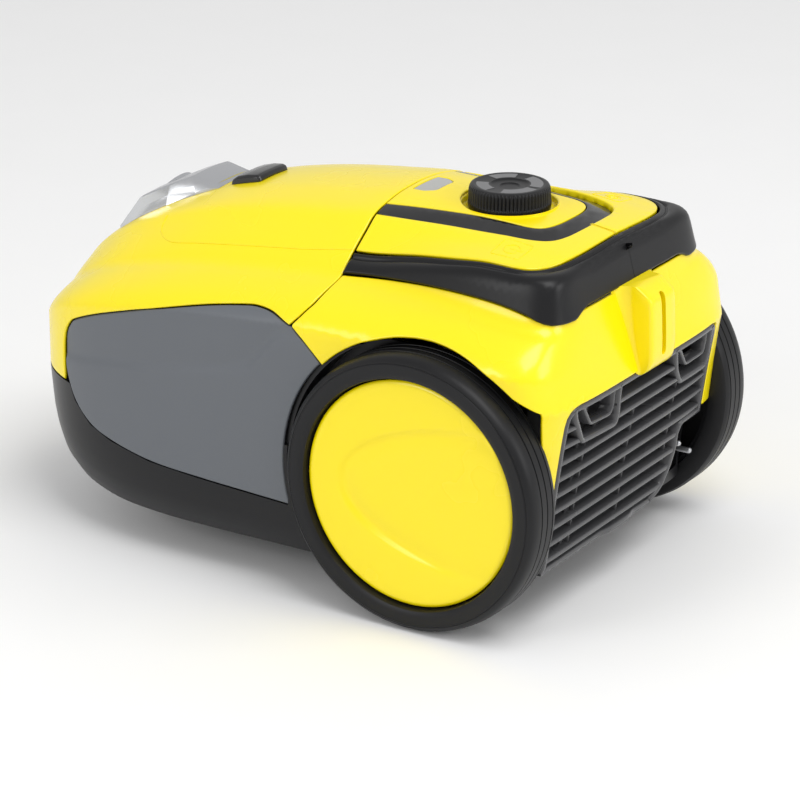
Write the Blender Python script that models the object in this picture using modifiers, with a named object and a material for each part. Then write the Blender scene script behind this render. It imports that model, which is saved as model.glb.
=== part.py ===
"""Canister vacuum cleaner on two large rear wheels and a front caster.

The machine stands on z = 0 with its hose inlet towards -Y, its exhaust grille
towards +Y and its left side towards +X. Sizes below are millimetres; every mesh
is scaled to metres as it is made.
"""
import bisect
import math

import bmesh
import bpy
from mathutils import Matrix, Vector

for old_object in list(bpy.data.objects):
    bpy.data.objects.remove(old_object, do_unlink=True)

MM = 0.001
GAP = 0.3               # clearance between touching pieces

# ---- driving dimensions -------------------------------------------------------
HALF_WIDTH = 130.0      # body without the wheels
NOSE_Y = -217.5
TAIL_Y = 209.0
MID_Z = 100.0           # height of the widest line
SKIN = 2.6              # wall of the outer covers
SEAM_Y = 38.5           # joint between front cover and rear housing
SEAM_GAP = 1.0
BAND_Z = 99.7           # top of the black band round the nose

AXLE_Y, AXLE_Z = 116.5, 90.0
WHEEL_R = 90.0
TYRE_IN, TYRE_OUT = 112.0, 144.0
HUB_CAP_R = 73.4
ARCH_R = 97.0
WELL_R = 95.5
WELL_X = 108.5

KNOB_Y, KNOB_R, KNOB_TOP = 105.0, 26.5, 251.4
LID_HINGE = (0.0, 62.0, 233.5)
PEDAL_HINGE = (60.0, 47.0, 214.0)
INLET_TILT = math.radians(34.0)
INLET_CENTRE = (0.0, -161.0, 196.0)
INLET_BORE_R = 17.0
CASTER_Y, CASTER_WHEEL_R, CASTER_TRAIL = -138.0, 13.0, 9.0
REEL_X, REEL_Y, REEL_Z, REEL_R = -70.0, 80.0, 112.0, 56.0
MOTOR_X, MOTOR_Z, MOTOR_R = 36.0, 92.0, 50.0
PLUG_POINT = (-79.5, 175.0, 65.0)
CORD_R = 3.25

# ---- colours -------------------------------------------------------------------
COLOURS = {
    "yellow": ((0.93, 0.74, 0.01), 0.30, 0.0),
    "grey_panel": ((0.13, 0.14, 0.155), 0.45, 0.0),
    "black_satin": ((0.022, 0.022, 0.024), 0.40, 0.0),
    "black_gloss": ((0.012, 0.012, 0.013), 0.22, 0.0),
    "tyre": ((0.02, 0.02, 0.021), 0.60, 0.0),
    "silver": ((0.72, 0.73, 0.75), 0.22, 0.9),
    "steel": ((0.55, 0.56, 0.58), 0.30, 1.0),
    "copper": ((0.70, 0.32, 0.16), 0.35, 1.0),
    "grey_lens": ((0.42, 0.43, 0.44), 0.15, 0.0),
    "seal": ((0.05, 0.05, 0.052), 0.80, 0.0),
    "paper": ((0.78, 0.74, 0.66), 0.90, 0.0),
    "card": ((0.60, 0.50, 0.36), 0.85, 0.0),
    "white_plastic": ((0.75, 0.76, 0.76), 0.45, 0.0),
    "filter": ((0.86, 0.87, 0.86), 0.95, 0.0),
    "board": ((0.04, 0.22, 0.10), 0.45, 0.0),
    "red": ((0.55, 0.04, 0.03), 0.40, 0.0),
}


def make_collection(name):
    collection = bpy.data.collections.new(name)
    bpy.context.scene.collection.children.link(collection)
    return collection


PARTS = make_collection("vacuum_cleaner")
CUTTERS = make_collection("cutters")


def make_material(name, colour, roughness, metallic):
    material = bpy.data.materials.new(name)
    material.use_nodes = True
    shader = material.node_tree.nodes["Principled BSDF"]
    shader.inputs["Base Color"].default_value = (*colour, 1.0)
    shader.inputs["Roughness"].default_value = roughness
    shader.inputs["Metallic"].default_value = metallic
    return material


MATERIALS = {name: make_material(name, *values) for name, values in COLOURS.items()}


# ---- modelling helpers ----------------------------------------------------------
def add_object(name, bm, material=None, origin=(0, 0, 0), smooth=True):
    """Link a mesh, built in millimetres, as a part, or as a cutter without a material."""
    origin = Vector(origin)
    bm.normal_update()
    bmesh.ops.recalc_face_normals(bm, faces=bm.faces)
    bmesh.ops.translate(bm, verts=bm.verts, vec=-origin)
    bmesh.ops.scale(bm, verts=bm.verts, vec=(MM, MM, MM))
    mesh = bpy.data.meshes.new(name)
    bm.to_mesh(mesh)
    bm.free()
    obj = bpy.data.objects.new(name, mesh)
    obj.location = origin * MM
    if material:
        PARTS.objects.link(obj)
        mesh.materials.append(MATERIALS[material])
        if smooth:
            mesh.shade_smooth()
            mesh.set_sharp_from_angle(angle=math.radians(35))
    else:
        CUTTERS.objects.link(obj)
        obj.hide_render = True
        obj.display_type = 'WIRE'
    return obj


# shells with long chains of cuts, which the exact solver leaves with open edges
MANY_CUTS = ("base_housing", "base_core", "bag_bay", "motor_bay", "control_deck", "exhaust_grille",
             "rear_housing")


def boolean(obj, other, operation='DIFFERENCE'):
    modifier = obj.modifiers.new(operation.lower(), 'BOOLEAN')
    modifier.operation = operation
    modifier.object = other
    modifier.solver = 'MANIFOLD' if obj.name in MANY_CUTS else 'EXACT'
    return obj


def cut(obj, *cutters):
    for cutter in cutters:
        boolean(obj, cutter, 'DIFFERENCE')
    return obj


def keep(obj, *cutters):
    for cutter in cutters:
        boolean(obj, cutter, 'INTERSECT')
    return obj


def join(obj, *others):
    for other in others:
        boolean(obj, other, 'UNION')
    return obj


def prism(name, outline, axis, start, end, material=None, origin=(0, 0, 0)):
    """Extrude a flat outline along X (points y, z), Y (x, z) or Z (x, y)."""
    place = {'X': lambda a, b: (start, a, b),
             'Y': lambda a, b: (a, start, b),
             'Z': lambda a, b: (a, b, start)}[axis]
    step = {'X': (end - start, 0, 0), 'Y': (0, end - start, 0), 'Z': (0, 0, end - start)}[axis]
    bm = bmesh.new()
    face = bm.faces.new([bm.verts.new(place(a, b)) for a, b in outline])
    extruded = bmesh.ops.extrude_face_region(bm, geom=[face])["geom"]
    moved = [item for item in extruded if isinstance(item, bmesh.types.BMVert)]
    bmesh.ops.translate(bm, verts=moved, vec=step)
    return add_object(name, bm, material, origin)


def box(name, low, high, material=None, origin=(0, 0, 0), rounding=0.0):
    bm = bmesh.new()
    bmesh.ops.create_cube(bm, size=1.0)
    for vert in bm.verts:
        vert.co = [low[i] + (high[i] - low[i]) * (vert.co[i] + 0.5) for i in range(3)]
    obj = add_object(name, bm, material, origin)
    if rounding:
        bevel = obj.modifiers.new("rounded", 'BEVEL')
        bevel.width = rounding * MM
        bevel.segments = 2
    return obj


def cylinder(name, radius, start, end, material=None, segments=24, radius_end=None, origin=(0, 0, 0)):
    """Round bar or cone from one point to another."""
    start, end = Vector(start), Vector(end)
    bm = bmesh.new()
    bmesh.ops.create_cone(bm, cap_ends=True, segments=segments, radius1=radius,
                          radius2=radius if radius_end is None else radius_end,
                          depth=(end - start).length)
    turn = (end - start).to_track_quat('Z', 'Y').to_matrix()
    bmesh.ops.rotate(bm, verts=bm.verts, matrix=turn)
    bmesh.ops.translate(bm, verts=bm.verts, vec=(start + end) / 2)
    return add_object(name, bm, material, origin)


def turned(name, profile, centre, direction, material=None, segments=32):
    """Turn a profile of (radius, height) points, listed down its outer side, about an axis."""
    bm = bmesh.new()
    verts = [bm.verts.new((radius * MM, 0, height * MM)) for radius, height in profile]
    for first, second in zip(verts, verts[1:]):
        bm.edges.new((first, second))
    if profile[0][0] > 0:
        bm.edges.new((verts[-1], verts[0]))
    mesh = bpy.data.meshes.new(name)
    bm.to_mesh(mesh)
    bm.free()
    obj = bpy.data.objects.new(name, mesh)
    obj.location = Vector(centre) * MM
    obj.rotation_euler = Vector(direction).to_track_quat('Z', 'Y').to_euler()
    screw = obj.modifiers.new("turned", 'SCREW')
    screw.angle = math.tau
    screw.steps = segments
    screw.render_steps = segments
    screw.use_merge_vertices = True
    screw.merge_threshold = 0.00001
    if material:
        PARTS.objects.link(obj)
        mesh.materials.append(MATERIALS[material])
    else:
        CUTTERS.objects.link(obj)
        obj.hide_render = True
        obj.display_type = 'WIRE'
    return obj


def tube_curve(name, points, radius, material, closed=False, resolution=2):
    """Wire or tube through points, with filled ends."""
    curve = bpy.data.curves.new(name, 'CURVE')
    curve.dimensions = '3D'
    curve.resolution_u = 1
    curve.render_resolution_u = 0
    curve.bevel_depth = radius * MM
    curve.bevel_resolution = resolution
    curve.use_fill_caps = True
    spline = curve.splines.new('POLY')
    spline.points.add(len(points) - 1)
    for spline_point, point in zip(spline.points, points):
        spline_point.co = (*(Vector(point) * MM), 1.0)
    spline.use_cyclic_u = closed
    obj = bpy.data.objects.new(name, curve)
    curve.materials.append(MATERIALS[material])
    PARTS.objects.link(obj)
    return obj


def smooth_curve(points):
    """Monotone cubic through (position, value) points."""
    xs = [point[0] for point in points]
    ys = [point[1] for point in points]
    steps = [(ys[i + 1] - ys[i]) / (xs[i + 1] - xs[i]) for i in range(len(xs) - 1)]
    inner = [0.0 if a * b <= 0 else 2 * a * b / (a + b) for a, b in zip(steps, steps[1:])]
    slopes = [steps[0]] + inner + [steps[-1]]

    def value(x):
        x = min(max(x, xs[0]), xs[-1])
        i = min(bisect.bisect_right(xs, x) - 1, len(xs) - 2)
        span = xs[i + 1] - xs[i]
        t = (x - xs[i]) / span
        ends = ys[i] * (1 + 2 * t) * (1 - t) ** 2 + ys[i + 1] * t * t * (3 - 2 * t)
        return ends + span * t * (1 - t) * (slopes[i] * (1 - t) - slopes[i + 1] * t)
    return value


def arc(centre, radius, start, end, count):
    """Points of a circular arc, angles in degrees."""
    angles = [math.radians(start + (end - start) * i / count) for i in range(count + 1)]
    return [(centre[0] + radius * math.cos(a), centre[1] + radius * math.sin(a)) for a in angles]


def mirrored_loft(name, halves, material=None):
    """Closed body through stations, each a half outline from the crown at x = 0 to the belly."""
    bm = bmesh.new()
    rows = [[(bm.verts.new(p), bm.verts.new((-p[0], p[1], p[2]))) for p in half[1:]] for half in halves]
    crowns = [bm.verts.new(half[0]) for half in halves]
    last = len(halves) - 1
    for i in range(last):
        row, following = rows[i], rows[i + 1]
        bm.faces.new((row[-1][0], row[-1][1], following[-1][1], following[-1][0]))
        for side in (0, 1):
            bm.faces.new((crowns[i], row[0][side], following[0][side], crowns[i + 1]))
            for k in range(len(row) - 1):
                bm.faces.new((row[k][side], row[k + 1][side], following[k + 1][side], following[k][side]))
    for i in (0, last):
        bm.faces.new((crowns[i], rows[i][0][0], rows[i][0][1]))
        for upper, lower in zip(rows[i], rows[i][1:]):
            bm.faces.new((upper[0], lower[0], lower[1], upper[1]))
    return add_object(name, bm, material)


def clamp(value, low, high):
    return min(max(value, low), high)


# ---- master surface -------------------------------------------------------------
top_height = smooth_curve([(NOSE_Y, 112), (-213, 132), (-205, 153.5), (-190, 174), (-170, 190),
                           (-150, 202), (-120, 214.5), (-80, 226.5), (-40, 234), (0, 239),
                           (40, 242.5), (90, 241.5), (130, 239), (165, 234.5), (190, 231.5),
                           (203, 229.5), (TAIL_Y, 226)])
bottom_height = smooth_curve([(NOSE_Y, 92), (-212, 78), (-203, 62), (-190, 47), (-172, 35),
                              (-150, 28), (-110, 23), (-60, 22), (60, 22), (150, 26),
                              (190, 34), (TAIL_Y, 44)])
# share of the half width, share of the drop to mid height: at the seam, then at the tail
UPPER_SECTION = [(0.0, 0.0, 0.0, 0.0), (0.15, 0.006, 0.15, 0.004), (0.29, 0.025, 0.29, 0.012),
                 (0.41, 0.053, 0.41, 0.022), (0.5, 0.109, 0.5, 0.034),
                 (0.605, 0.179, 0.643, 0.052), (0.655, 0.218, 0.695, 0.07),
                 (0.708, 0.263, 0.775, 0.268), (0.82, 0.305, 0.86, 0.31),
                 (0.908, 0.347, 0.93, 0.36), (0.965, 0.39, 0.975, 0.405),
                 (1.0, 0.449, 1.0, 0.455)]
LOWER_SECTION = [(1.0, 1.0), (1.0, 0.45), (0.985, 0.25), (0.95, 0.1), (0.88, 0.02), (0.75, 0.0)]


def half_width(y):
    if y < 0:
        return HALF_WIDTH * (1 - (y / NOSE_Y) ** 3.4) ** (1 / 3.1)
    share = max(y - 60, 0) / (TAIL_Y - 60)
    return HALF_WIDTH * (1 - share ** 12) ** 0.2


def lean(y, z):
    """Shift that tilts the tail face and undercuts the nose."""
    tail = 22 * clamp((z - 150) / 78, 0, 1.2) ** 0.9 + 20 * clamp((150 - z) / 110, 0, 1.3) ** 0.8
    nose = 10 * clamp((MID_Z - z) / 60, 0, 1.5) ** 1.3
    return nose * clamp(y / NOSE_Y, 0, 1) ** 4 - tail * clamp((y - 60) / (TAIL_Y - 60), 0, 1) ** 8


def section(y, inset):
    """Half outline from the crown down to the belly at one station."""
    width = half_width(y)
    crown, belly = top_height(y), bottom_height(y)
    blend = clamp((y - 40) / 125, 0, 1)
    blend = blend * blend * (3 - 2 * blend)
    points = []
    for front_x, front_drop, rear_x, rear_drop in UPPER_SECTION:
        share = front_x + (rear_x - front_x) * blend
        drop = front_drop + (rear_drop - front_drop) * blend
        points.append((share, crown - (crown - MID_Z) * drop - inset))
    belly += inset
    points += [(share, belly + (MID_Z - belly) * rise) for share, rise in LOWER_SECTION]
    middle = (NOSE_Y + TAIL_Y) / 2
    shrink = 1 - 2 * inset / (TAIL_Y - NOSE_Y)
    return [((width - inset) * share, middle + (y - middle) * shrink + lean(y, z), z)
            for share, z in points]


STATIONS = [NOSE_Y + 0.5, -215, -210, -203, -193, -180, -164, -146, -124, -100, -72, -42, -12, 16,
            38, 62, 88, 114, 138, 156, 170, 181, 190, 197, 202.5, 206.5, TAIL_Y - 0.4]


def body_loft(name, inset, first=NOSE_Y, last=TAIL_Y, material=None):
    """Closed body: the master surface moved inwards by inset, lofted through the stations."""
    stations = STATIONS if inset < 1 else STATIONS[::2]
    halves = [section(y, inset) for y in stations if first <= y <= last]
    return mirrored_loft(name, halves, material)


BODY = body_loft("body", 0.0)
BODY_INNER = body_loft("body_inner", SKIN)
CORE_INNER = body_loft("core_inner", SKIN + 3.1)


def shell(name, material):
    """Outer skin of the whole body, to be trimmed to one cover."""
    return cut(body_loft(name, 0.0, material=material), BODY_INNER)


# ---- outlines in side view (y, z) -------------------------------------------------
PANEL_TOP = [(-168, 122), (-165.5, 134), (-160, 142), (-153, 147), (-127, 157.2), (-84, 170),
             (-46, 179.5), (-14, 185.2), (-2, 186), (9, 184.6), (22, 179.6), (34, 170.5),
             (46.3, 158.6)]
PANEL_BOTTOM = [(20.8, 60), (-8, 61.4), (-47, 63.3), (-87, 65.8), (-122, 72), (-141, 78),
                (-156.5, 90), (-165, 106)]
ARCH_POINTS = arc((AXLE_Y, AXLE_Z), 98.5, 135.6, 197.8, 8)[1:-1]
PANEL_OUTLINE = PANEL_TOP + ARCH_POINTS + PANEL_BOTTOM


def shifted(outline, offset):
    """The outline moved outwards by offset, corner by corner."""
    count = len(outline)
    area = sum(outline[i][0] * outline[(i + 1) % count][1]
               - outline[(i + 1) % count][0] * outline[i][1] for i in range(count))
    side = 1 if area > 0 else -1
    result = []
    for i, point in enumerate(outline):
        before = (Vector(point) - Vector(outline[i - 1])).normalized()
        after = (Vector(outline[(i + 1) % count]) - Vector(point)).normalized()
        normals = [Vector((d.y, -d.x)) * side for d in (before, after)]
        mitre = (normals[0] + normals[1]).normalized()
        result.append(tuple(Vector(point) + mitre * offset / max(mitre.dot(normals[0]), 0.4)))
    return result


# ---- side panels ---------------------------------------------------------------------
def make_side_panels():
    for name, side in (("side_panel_left", 1), ("side_panel_right", -1)):
        panel = shell(name, "grey_panel")
        outline = prism(name + "_outline", PANEL_OUTLINE, 'X', side * 60, side * 150)
        keep(panel, outline)


# ---- front cover, its hinge arms, inlet hood and latch ---------------------------------
INLET_AXIS = Vector((0, math.cos(INLET_TILT), -math.sin(INLET_TILT)))


def along_inlet(distance, rise=0.0):
    """Point on the inlet axis, distance behind the hood's face, raised in the face's plane."""
    up = Vector((0, math.sin(INLET_TILT), math.cos(INLET_TILT)))
    return Vector(INLET_CENTRE) + INLET_AXIS * distance + up * rise


def make_front_cover():
    cover = shell("front_cover", "yellow")
    front = [(SEAM_Y - SEAM_GAP / 2, 262), (SEAM_Y - SEAM_GAP / 2, 204), (33.4, 193),
             (27.9, 185.6), (22.9, 180.3)]
    side = [(9, 185.4), (-2, 186.8), (-14, 186.0), (-46, 180.3), (-84, 170.8), (-127, 158.0),
            (-153, 147.8), (-160.7, 142.6), (-166.3, 134.4), (-168.8, 122), (-168.8, BAND_Z + 0.8)]
    outline = front + side + [(-230, BAND_Z + 0.8), (-230, 262)]
    keep(cover, prism("cover_outline", outline, 'X', -150, 150))
    bore = cylinder("cover_inlet_hole", 24.5, along_inlet(-40), along_inlet(45), segments=32)
    slot = box("cover_latch_slot", (-9, -95.5, 190), (9, -81, 245))
    return cut(cover, bore, slot)


def make_hinge_arms():
    """Goose-neck arms that carry the front cover clear over the housing's edge."""
    hinge_y, hinge_z = LID_HINGE[1], LID_HINGE[2]
    low, front = hinge_z - 30, hinge_y - 34
    outline = (arc((hinge_y, hinge_z), 3.3, 0, 180, 8)
               + [(hinge_y - 3.3, low + 3), (front + 3.5, low + 3), (front + 3.5, 250),
                  (front - 3.5, 250), (front - 3.5, low - 1), (front - 0.5, low - 3.5),
                  (hinge_y + 0.8, low - 3.5), (hinge_y + 3.3, low - 1)])
    ceiling = body_loft("arm_ceiling", SKIN + GAP)
    for name, x in (("hinge_arm_left", 28), ("hinge_arm_right", -28)):
        arm = prism(name, outline, 'X', x - 2, x + 2, "black_satin", LID_HINGE)
        eye = cylinder(name + "_eye", 1.9, (x - 5, hinge_y, hinge_z), (x + 5, hinge_y, hinge_z),
                       segments=16)
        keep(arm, ceiling)
        cut(arm, eye)


def make_inlet_hood():
    """Silver hood: a wedge that narrows to the rear, with the hose port through its face."""
    halves = []
    for y_low, z_low, low, y_top, z_top, half, crown in (
            (-168.7, 188.9, 42.0, -152.8, 212.0, 40.7, 3.0),
            (-138.0, 200.0, 45.0, -137.5, 219.6, 32.0, 2.6),
            (-117.0, 210.0, 34.0, -124.5, 225.6, 21.5, 1.8),
            (-104.0, 216.0, 24.0, -109.5, 223.4, 19.5, 1.4)):
        top = [(half * share, y_top, z_top + crown * (1 - share * share)) for share in (0, 0.35, 0.7)]
        halves.append(top + [(half * 0.97, y_top, z_top), (low, y_low, z_low),
                             (low, y_low, z_low - 14)])
    hood = mirrored_loft("inlet_hood", halves, "silver")
    cut(hood, body_loft("hood_seat", -GAP))
    port = cylinder("inlet_port_hole", 21.5, along_inlet(-60), along_inlet(70), segments=32)
    return cut(hood, port)


def make_inlet_parts():
    """Port tube through the hood and cover, and the lip seal at its inner end."""
    tube = [(21.0, 52.0), (21.0, 2.0), (INLET_BORE_R, 2.0), (INLET_BORE_R, 52.0)]
    turned("inlet_tube", tube, along_inlet(0), INLET_AXIS, "black_satin")
    seal = [(23.5, 57.0), (23.5, 52.3), (17.5, 52.3), (17.5, 57.0)]
    turned("inlet_seal", seal, along_inlet(0), INLET_AXIS, "seal")


def make_cover_latch():
    """Sliding bar with a hanging shank and a hook nose."""
    outline = [(-15.8, -97.5), (15.8, -97.5), (17.2, -92), (17.2, -77), (16, -73.4), (-16, -73.4),
               (-17.2, -77), (-17.2, -92)]
    latch = prism("cover_latch", outline, 'Z', 215, 236, "black_gloss")
    top = [(-110, 223), (-97.5, 223.1), (-96.4, 225.9), (-92, 228.9), (-84, 231.1), (-77, 232),
           (-74.5, 231.4), (-73.4, 229.2), (-60, 229.2), (-60, 245), (-110, 245)]
    cut(latch, prism("latch_top", top, 'X', -40, 40), body_loft("latch_seat", -GAP))
    shank = [(-88, 229.5), (-82, 230.5), (-82, 204), (-86, 198.5), (-91, 201.5), (-88, 206)]
    return join(latch, prism("latch_shank", shank, 'X', -7, 7))


# ---- rear housing ----------------------------------------------------------------------
def plateau_outline(shrink=0.0):
    """Plan outline inside the handle: straight arms and a bowed rear edge."""
    half = 84.6 - shrink
    side = [(79.4 - shrink, SEAM_Y - 10), (79.4 - shrink, 80), (83.4 - shrink, 115), (half, 146)]
    rear = []
    for i in range(1, 8):
        angle = math.radians(90 * i / 8)
        rear.append((half * math.cos(angle) ** (2 / 3.4),
                     146 + (36.5 - shrink) * math.sin(angle) ** (2 / 3.4)))
    right = side + rear
    return right + [(0, 182.5 - shrink)] + [(-x, y) for x, y in reversed(right)]


HANDLE_LOW = [(SEAM_Y - 20, 203.8), (SEAM_Y, 204.9), (80, 207.8), (120, 209.3), (155, 207.5),
              (174, 203.6), (187, 198), (230, 198)]


def make_rear_housing():
    housing = shell("rear_housing", "yellow")
    edge = SEAM_Y + SEAM_GAP / 2
    arch = arc((AXLE_Y, AXLE_Z), ARCH_R, 135.2, 47.6, 14)
    outline = ([(edge, 262), (edge, 204), (35, 193), (29.5, 185.8), (24.7, 180), (35, 170.6)]
               + arch + [(207, 148), (205, 88), (240, 88), (240, 262)])
    keep(housing, prism("housing_outline", outline, 'X', -150, 150))
    handle_seat = HANDLE_LOW + [(230, 270), (SEAM_Y - 20, 270)]
    cut(housing, prism("handle_seat", handle_seat, 'X', -150, 150))
    cut(housing, box("grille_seat", (-98.4, 175, 20), (98.4, 240, 150.6)))
    block = [(188, 160), (192, 198), (204.7, 205), (215.4, 196), (217.5, 162), (206.6, 151.2),
             (194, 151.2)]
    stop = prism("park_block", block, 'X', -17, 17)
    join(housing, stop)
    return cut(housing, box("park_slot", (-3.0, 204, 160), (3.0, 230, 197)))


def make_handle():
    """Fixed carrying handle: a raised U whose rear bar is the grip."""
    handle = body_loft("carry_handle", 0.0, -60, TAIL_Y, "black_satin")
    cut(handle, body_loft("handle_inner", 10.0, -60, TAIL_Y))
    outline = [(y, z + 0.5) for y, z in HANDLE_LOW[1:]]
    outline = [(SEAM_Y + SEAM_GAP / 2, 205.4)] + outline[1:]
    keep(handle, prism("handle_region", outline + [(230, 262), (SEAM_Y + SEAM_GAP / 2, 262)],
                       'X', -150, 150))
    cut(handle, prism("handle_middle", plateau_outline(), 'Z', 150, 270))
    return cut(handle, box("grip_step", (-62, 176, 190), (62, 230, 203.2), rounding=0))


# ---- control deck with trim, panel, pedals and knob --------------------------------------
TRIM_OUTER = [(52.8, SEAM_Y - 10), (51.6, 80), (51.2, 110), (49.6, 129), (46.6, 146), (39.8, 156.8),
              (28, 161.4), (0, 163.2)]
TRIM_INNER = [(41.5, SEAM_Y - 10), (38.0, 64), (34.6, 97), (33.2, 120), (32.4, 137), (27.2, 145.6),
              (16, 149.6), (0, 150.8)]


def mirrored(half, shift=0.0):
    """Full plan outline from its +X half, moved sideways and back by shift."""
    right = [(x + shift if x else 0, y + (shift if y > 100 else 0)) for x, y in half]
    return right + [(-x, y) for x, y in reversed(right) if x]


def make_deck():
    deck = body_loft("control_deck", 12.0, -60, 206, "black_satin")
    cut(deck, body_loft("deck_under", 14.6, -60, 206))
    outline = [(86, 52), (90, 110), (88, 150), (72, 166), (40, 170), (0, 171)]
    full = outline + [(-x, y) for x, y in reversed(outline[:-1])]
    keep(deck, prism("deck_outline", full, 'Z', 214, 240))
    for x in (28, -28):
        cut(deck, box("hinge_notch", (x - 4, 30, 190), (x + 4, 66.5, 245)))
    for x in (56, -56):
        cut(deck, cylinder("plunger_hole", 5.5, (x, 125, 190), (x, 125, 245), segments=16))
    cut(deck, cylinder("shaft_hole", 5, (0, KNOB_Y, 200), (0, KNOB_Y, 250), segments=16))
    y, z = LID_HINGE[1], LID_HINGE[2]
    for x in (28, -28):
        for cheek_x in (x - 6.4, x + 2.8):
            join(deck, box("lid_cheek", (cheek_x, y - 4, 226.5), (cheek_x + 3.6, y + 9, 236.0)))
        join(deck, cylinder("lid_pin", 1.6, (x - 4, y, z), (x + 4, y, z), segments=12))
    y, z = PEDAL_HINGE[1], PEDAL_HINGE[2]
    for side in (1, -1):
        x = side * PEDAL_HINGE[0]
        for cheek_x in (x - side * 5.2, x + side * 9.4):
            join(deck, box("pedal_cheek", (cheek_x - 1.6, y - 4, z - 4), (cheek_x + 1.6, y + 16, z + 4)))
        join(deck, cylinder("pedal_pin", 1.6, (x - side * 5, y, z), (x + side * 9, y, z), segments=12))
    return deck


def make_trim_and_panel():
    trim = body_loft("inner_trim", 0.6, -60, 206, "black_satin")
    cut(trim, body_loft("trim_under", 10.8, -60, 206))
    front = box("seam_side", (-150, SEAM_Y + SEAM_GAP / 2, 150), (150, 230, 270))
    keep(trim, prism("trim_outer", mirrored(TRIM_OUTER), 'Z', 200, 260), front)
    cut(trim, prism("trim_inner", mirrored(TRIM_INNER), 'Z', 190, 270))

    panel = body_loft("centre_panel", 0.0, -60, 206, "yellow")
    cut(panel, body_loft("panel_under", SKIN, -60, 206))
    keep(panel, prism("panel_outline", mirrored(TRIM_INNER, -0.5), 'Z', 200, 260), front)
    cup = cylinder("knob_cup", 31.8, (0, KNOB_Y, 232.4), (0, KNOB_Y, 238.8), segments=32)
    join(panel, cup)
    cut(panel, cylinder("knob_recess", 29.4, (0, KNOB_Y, 234.4), (0, KNOB_Y, 260), segments=32))
    cut(panel, cylinder("knob_shaft_hole", 4.0, (0, KNOB_Y, 225), (0, KNOB_Y, 250), segments=16))
    window = [(-15, 43.2), (15, 43.2)] + arc((8, 50), 7.2, 0, 90, 4) + arc((-8, 50), 7.2, 90, 180, 4)
    cut(panel, prism("window_hole", shifted(window, 0.4), 'Z', 225, 260))
    lens = body_loft("fill_window", 0.3, -60, 206, "grey_lens")
    cut(lens, body_loft("window_under", 3.2, -60, 206))
    keep(lens, prism("window_outline", window, 'Z', 225, 260))


def make_indicator():
    """Bag-full indicator: a coloured flag that slides in a tray under the window."""
    tray = box("indicator_tray", (-19, 42.5, 230.9), (19, 57, 237.0), "white_plastic")
    cut(tray, box("tray_space", (-17.6, 44, 232.1), (17.6, 55.6, 240)))
    box("indicator_flag", (-17.2, 44.4, 232.4), (-5.2, 55.2, 236.4), "red", (-17.2, 50, 232.4))


def make_pedal(name, side, spring_name):
    """Foot pedal: a skin plate with a hinge lug at its front and a plunger below."""
    pedal = body_loft(name, 0.0, -60, 206, "yellow")
    cut(pedal, body_loft(name + "_under", 3.2, -60, 206))
    front = box(name + "_side", (min(side * 0.5, side * 140), SEAM_Y + SEAM_GAP / 2 + 0.6, 150),
                (max(side * 0.5, side * 140), 230, 270))
    keep(pedal, prism(name + "_outline", plateau_outline(1.5), 'Z', 200, 260), front)
    cut(pedal, prism(name + "_inner", mirrored(TRIM_OUTER, 0.9), 'Z', 190, 270))
    x = side * PEDAL_HINGE[0]
    y, z = PEDAL_HINGE[1], PEDAL_HINGE[2]
    lug = [(y - 3.4, z), (y - 3.4, 226)] + [(y + 6, 226), (y + 3.4, z)] + arc((y, z), 3.4, -20, -160, 5)
    join(pedal, prism(name + "_lug", lug, 'X', x - 3, x + 3))
    join(pedal, cylinder(name + "_plunger", 3.5, (side * 56, 125, 199.4 if side < 0 else 217.4),
                         (side * 56, 125, 233), segments=16))
    cut(pedal, cylinder(name + "_pin_hole", 1.9, (x - 9, y, z), (x + 9, y, z), segments=12))
    turns, steps = 3, 8
    start = x + side * 3.9
    points = []
    for i in range(turns * steps + 1):
        angle = math.tau * i / steps
        points.append((start + side * 3.2 * i / (turns * steps), y + 2.6 * math.cos(angle),
                       z + 2.6 * math.sin(angle)))
    tube_curve(spring_name, points, 0.45, "steel", resolution=1)


def make_knob():
    """Speed knob on its shaft, with the regulator and the control board below."""
    base = 235.6
    knob = [(0, KNOB_TOP - 1.6), (18.0, KNOB_TOP - 1.6), (20.0, KNOB_TOP), (24.6, KNOB_TOP),
            (KNOB_R, KNOB_TOP - 2.0), (KNOB_R, base), (23.5, base), (23.5, KNOB_TOP - 4.4),
            (3.0, KNOB_TOP - 4.4), (3.0, 221.4), (0, 221.4)]
    turned("speed_knob", knob, (0, KNOB_Y, 0), (0, 0, 1), "black_satin", 40)
    board = box("control_board", (-24, 82, 208.4), (67, 140, 210.0), "board")
    join(board, box("mains_switch", (49, 118, 209), (63, 132, 213.6)))
    join(board, cylinder("speed_regulator", 10, (0, KNOB_Y, 209), (0, KNOB_Y, 219.6), segments=20))
    cut(board, cylinder("regulator_socket", 3.4, (0, KNOB_Y, 212), (0, KNOB_Y, 230), segments=16))


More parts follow.
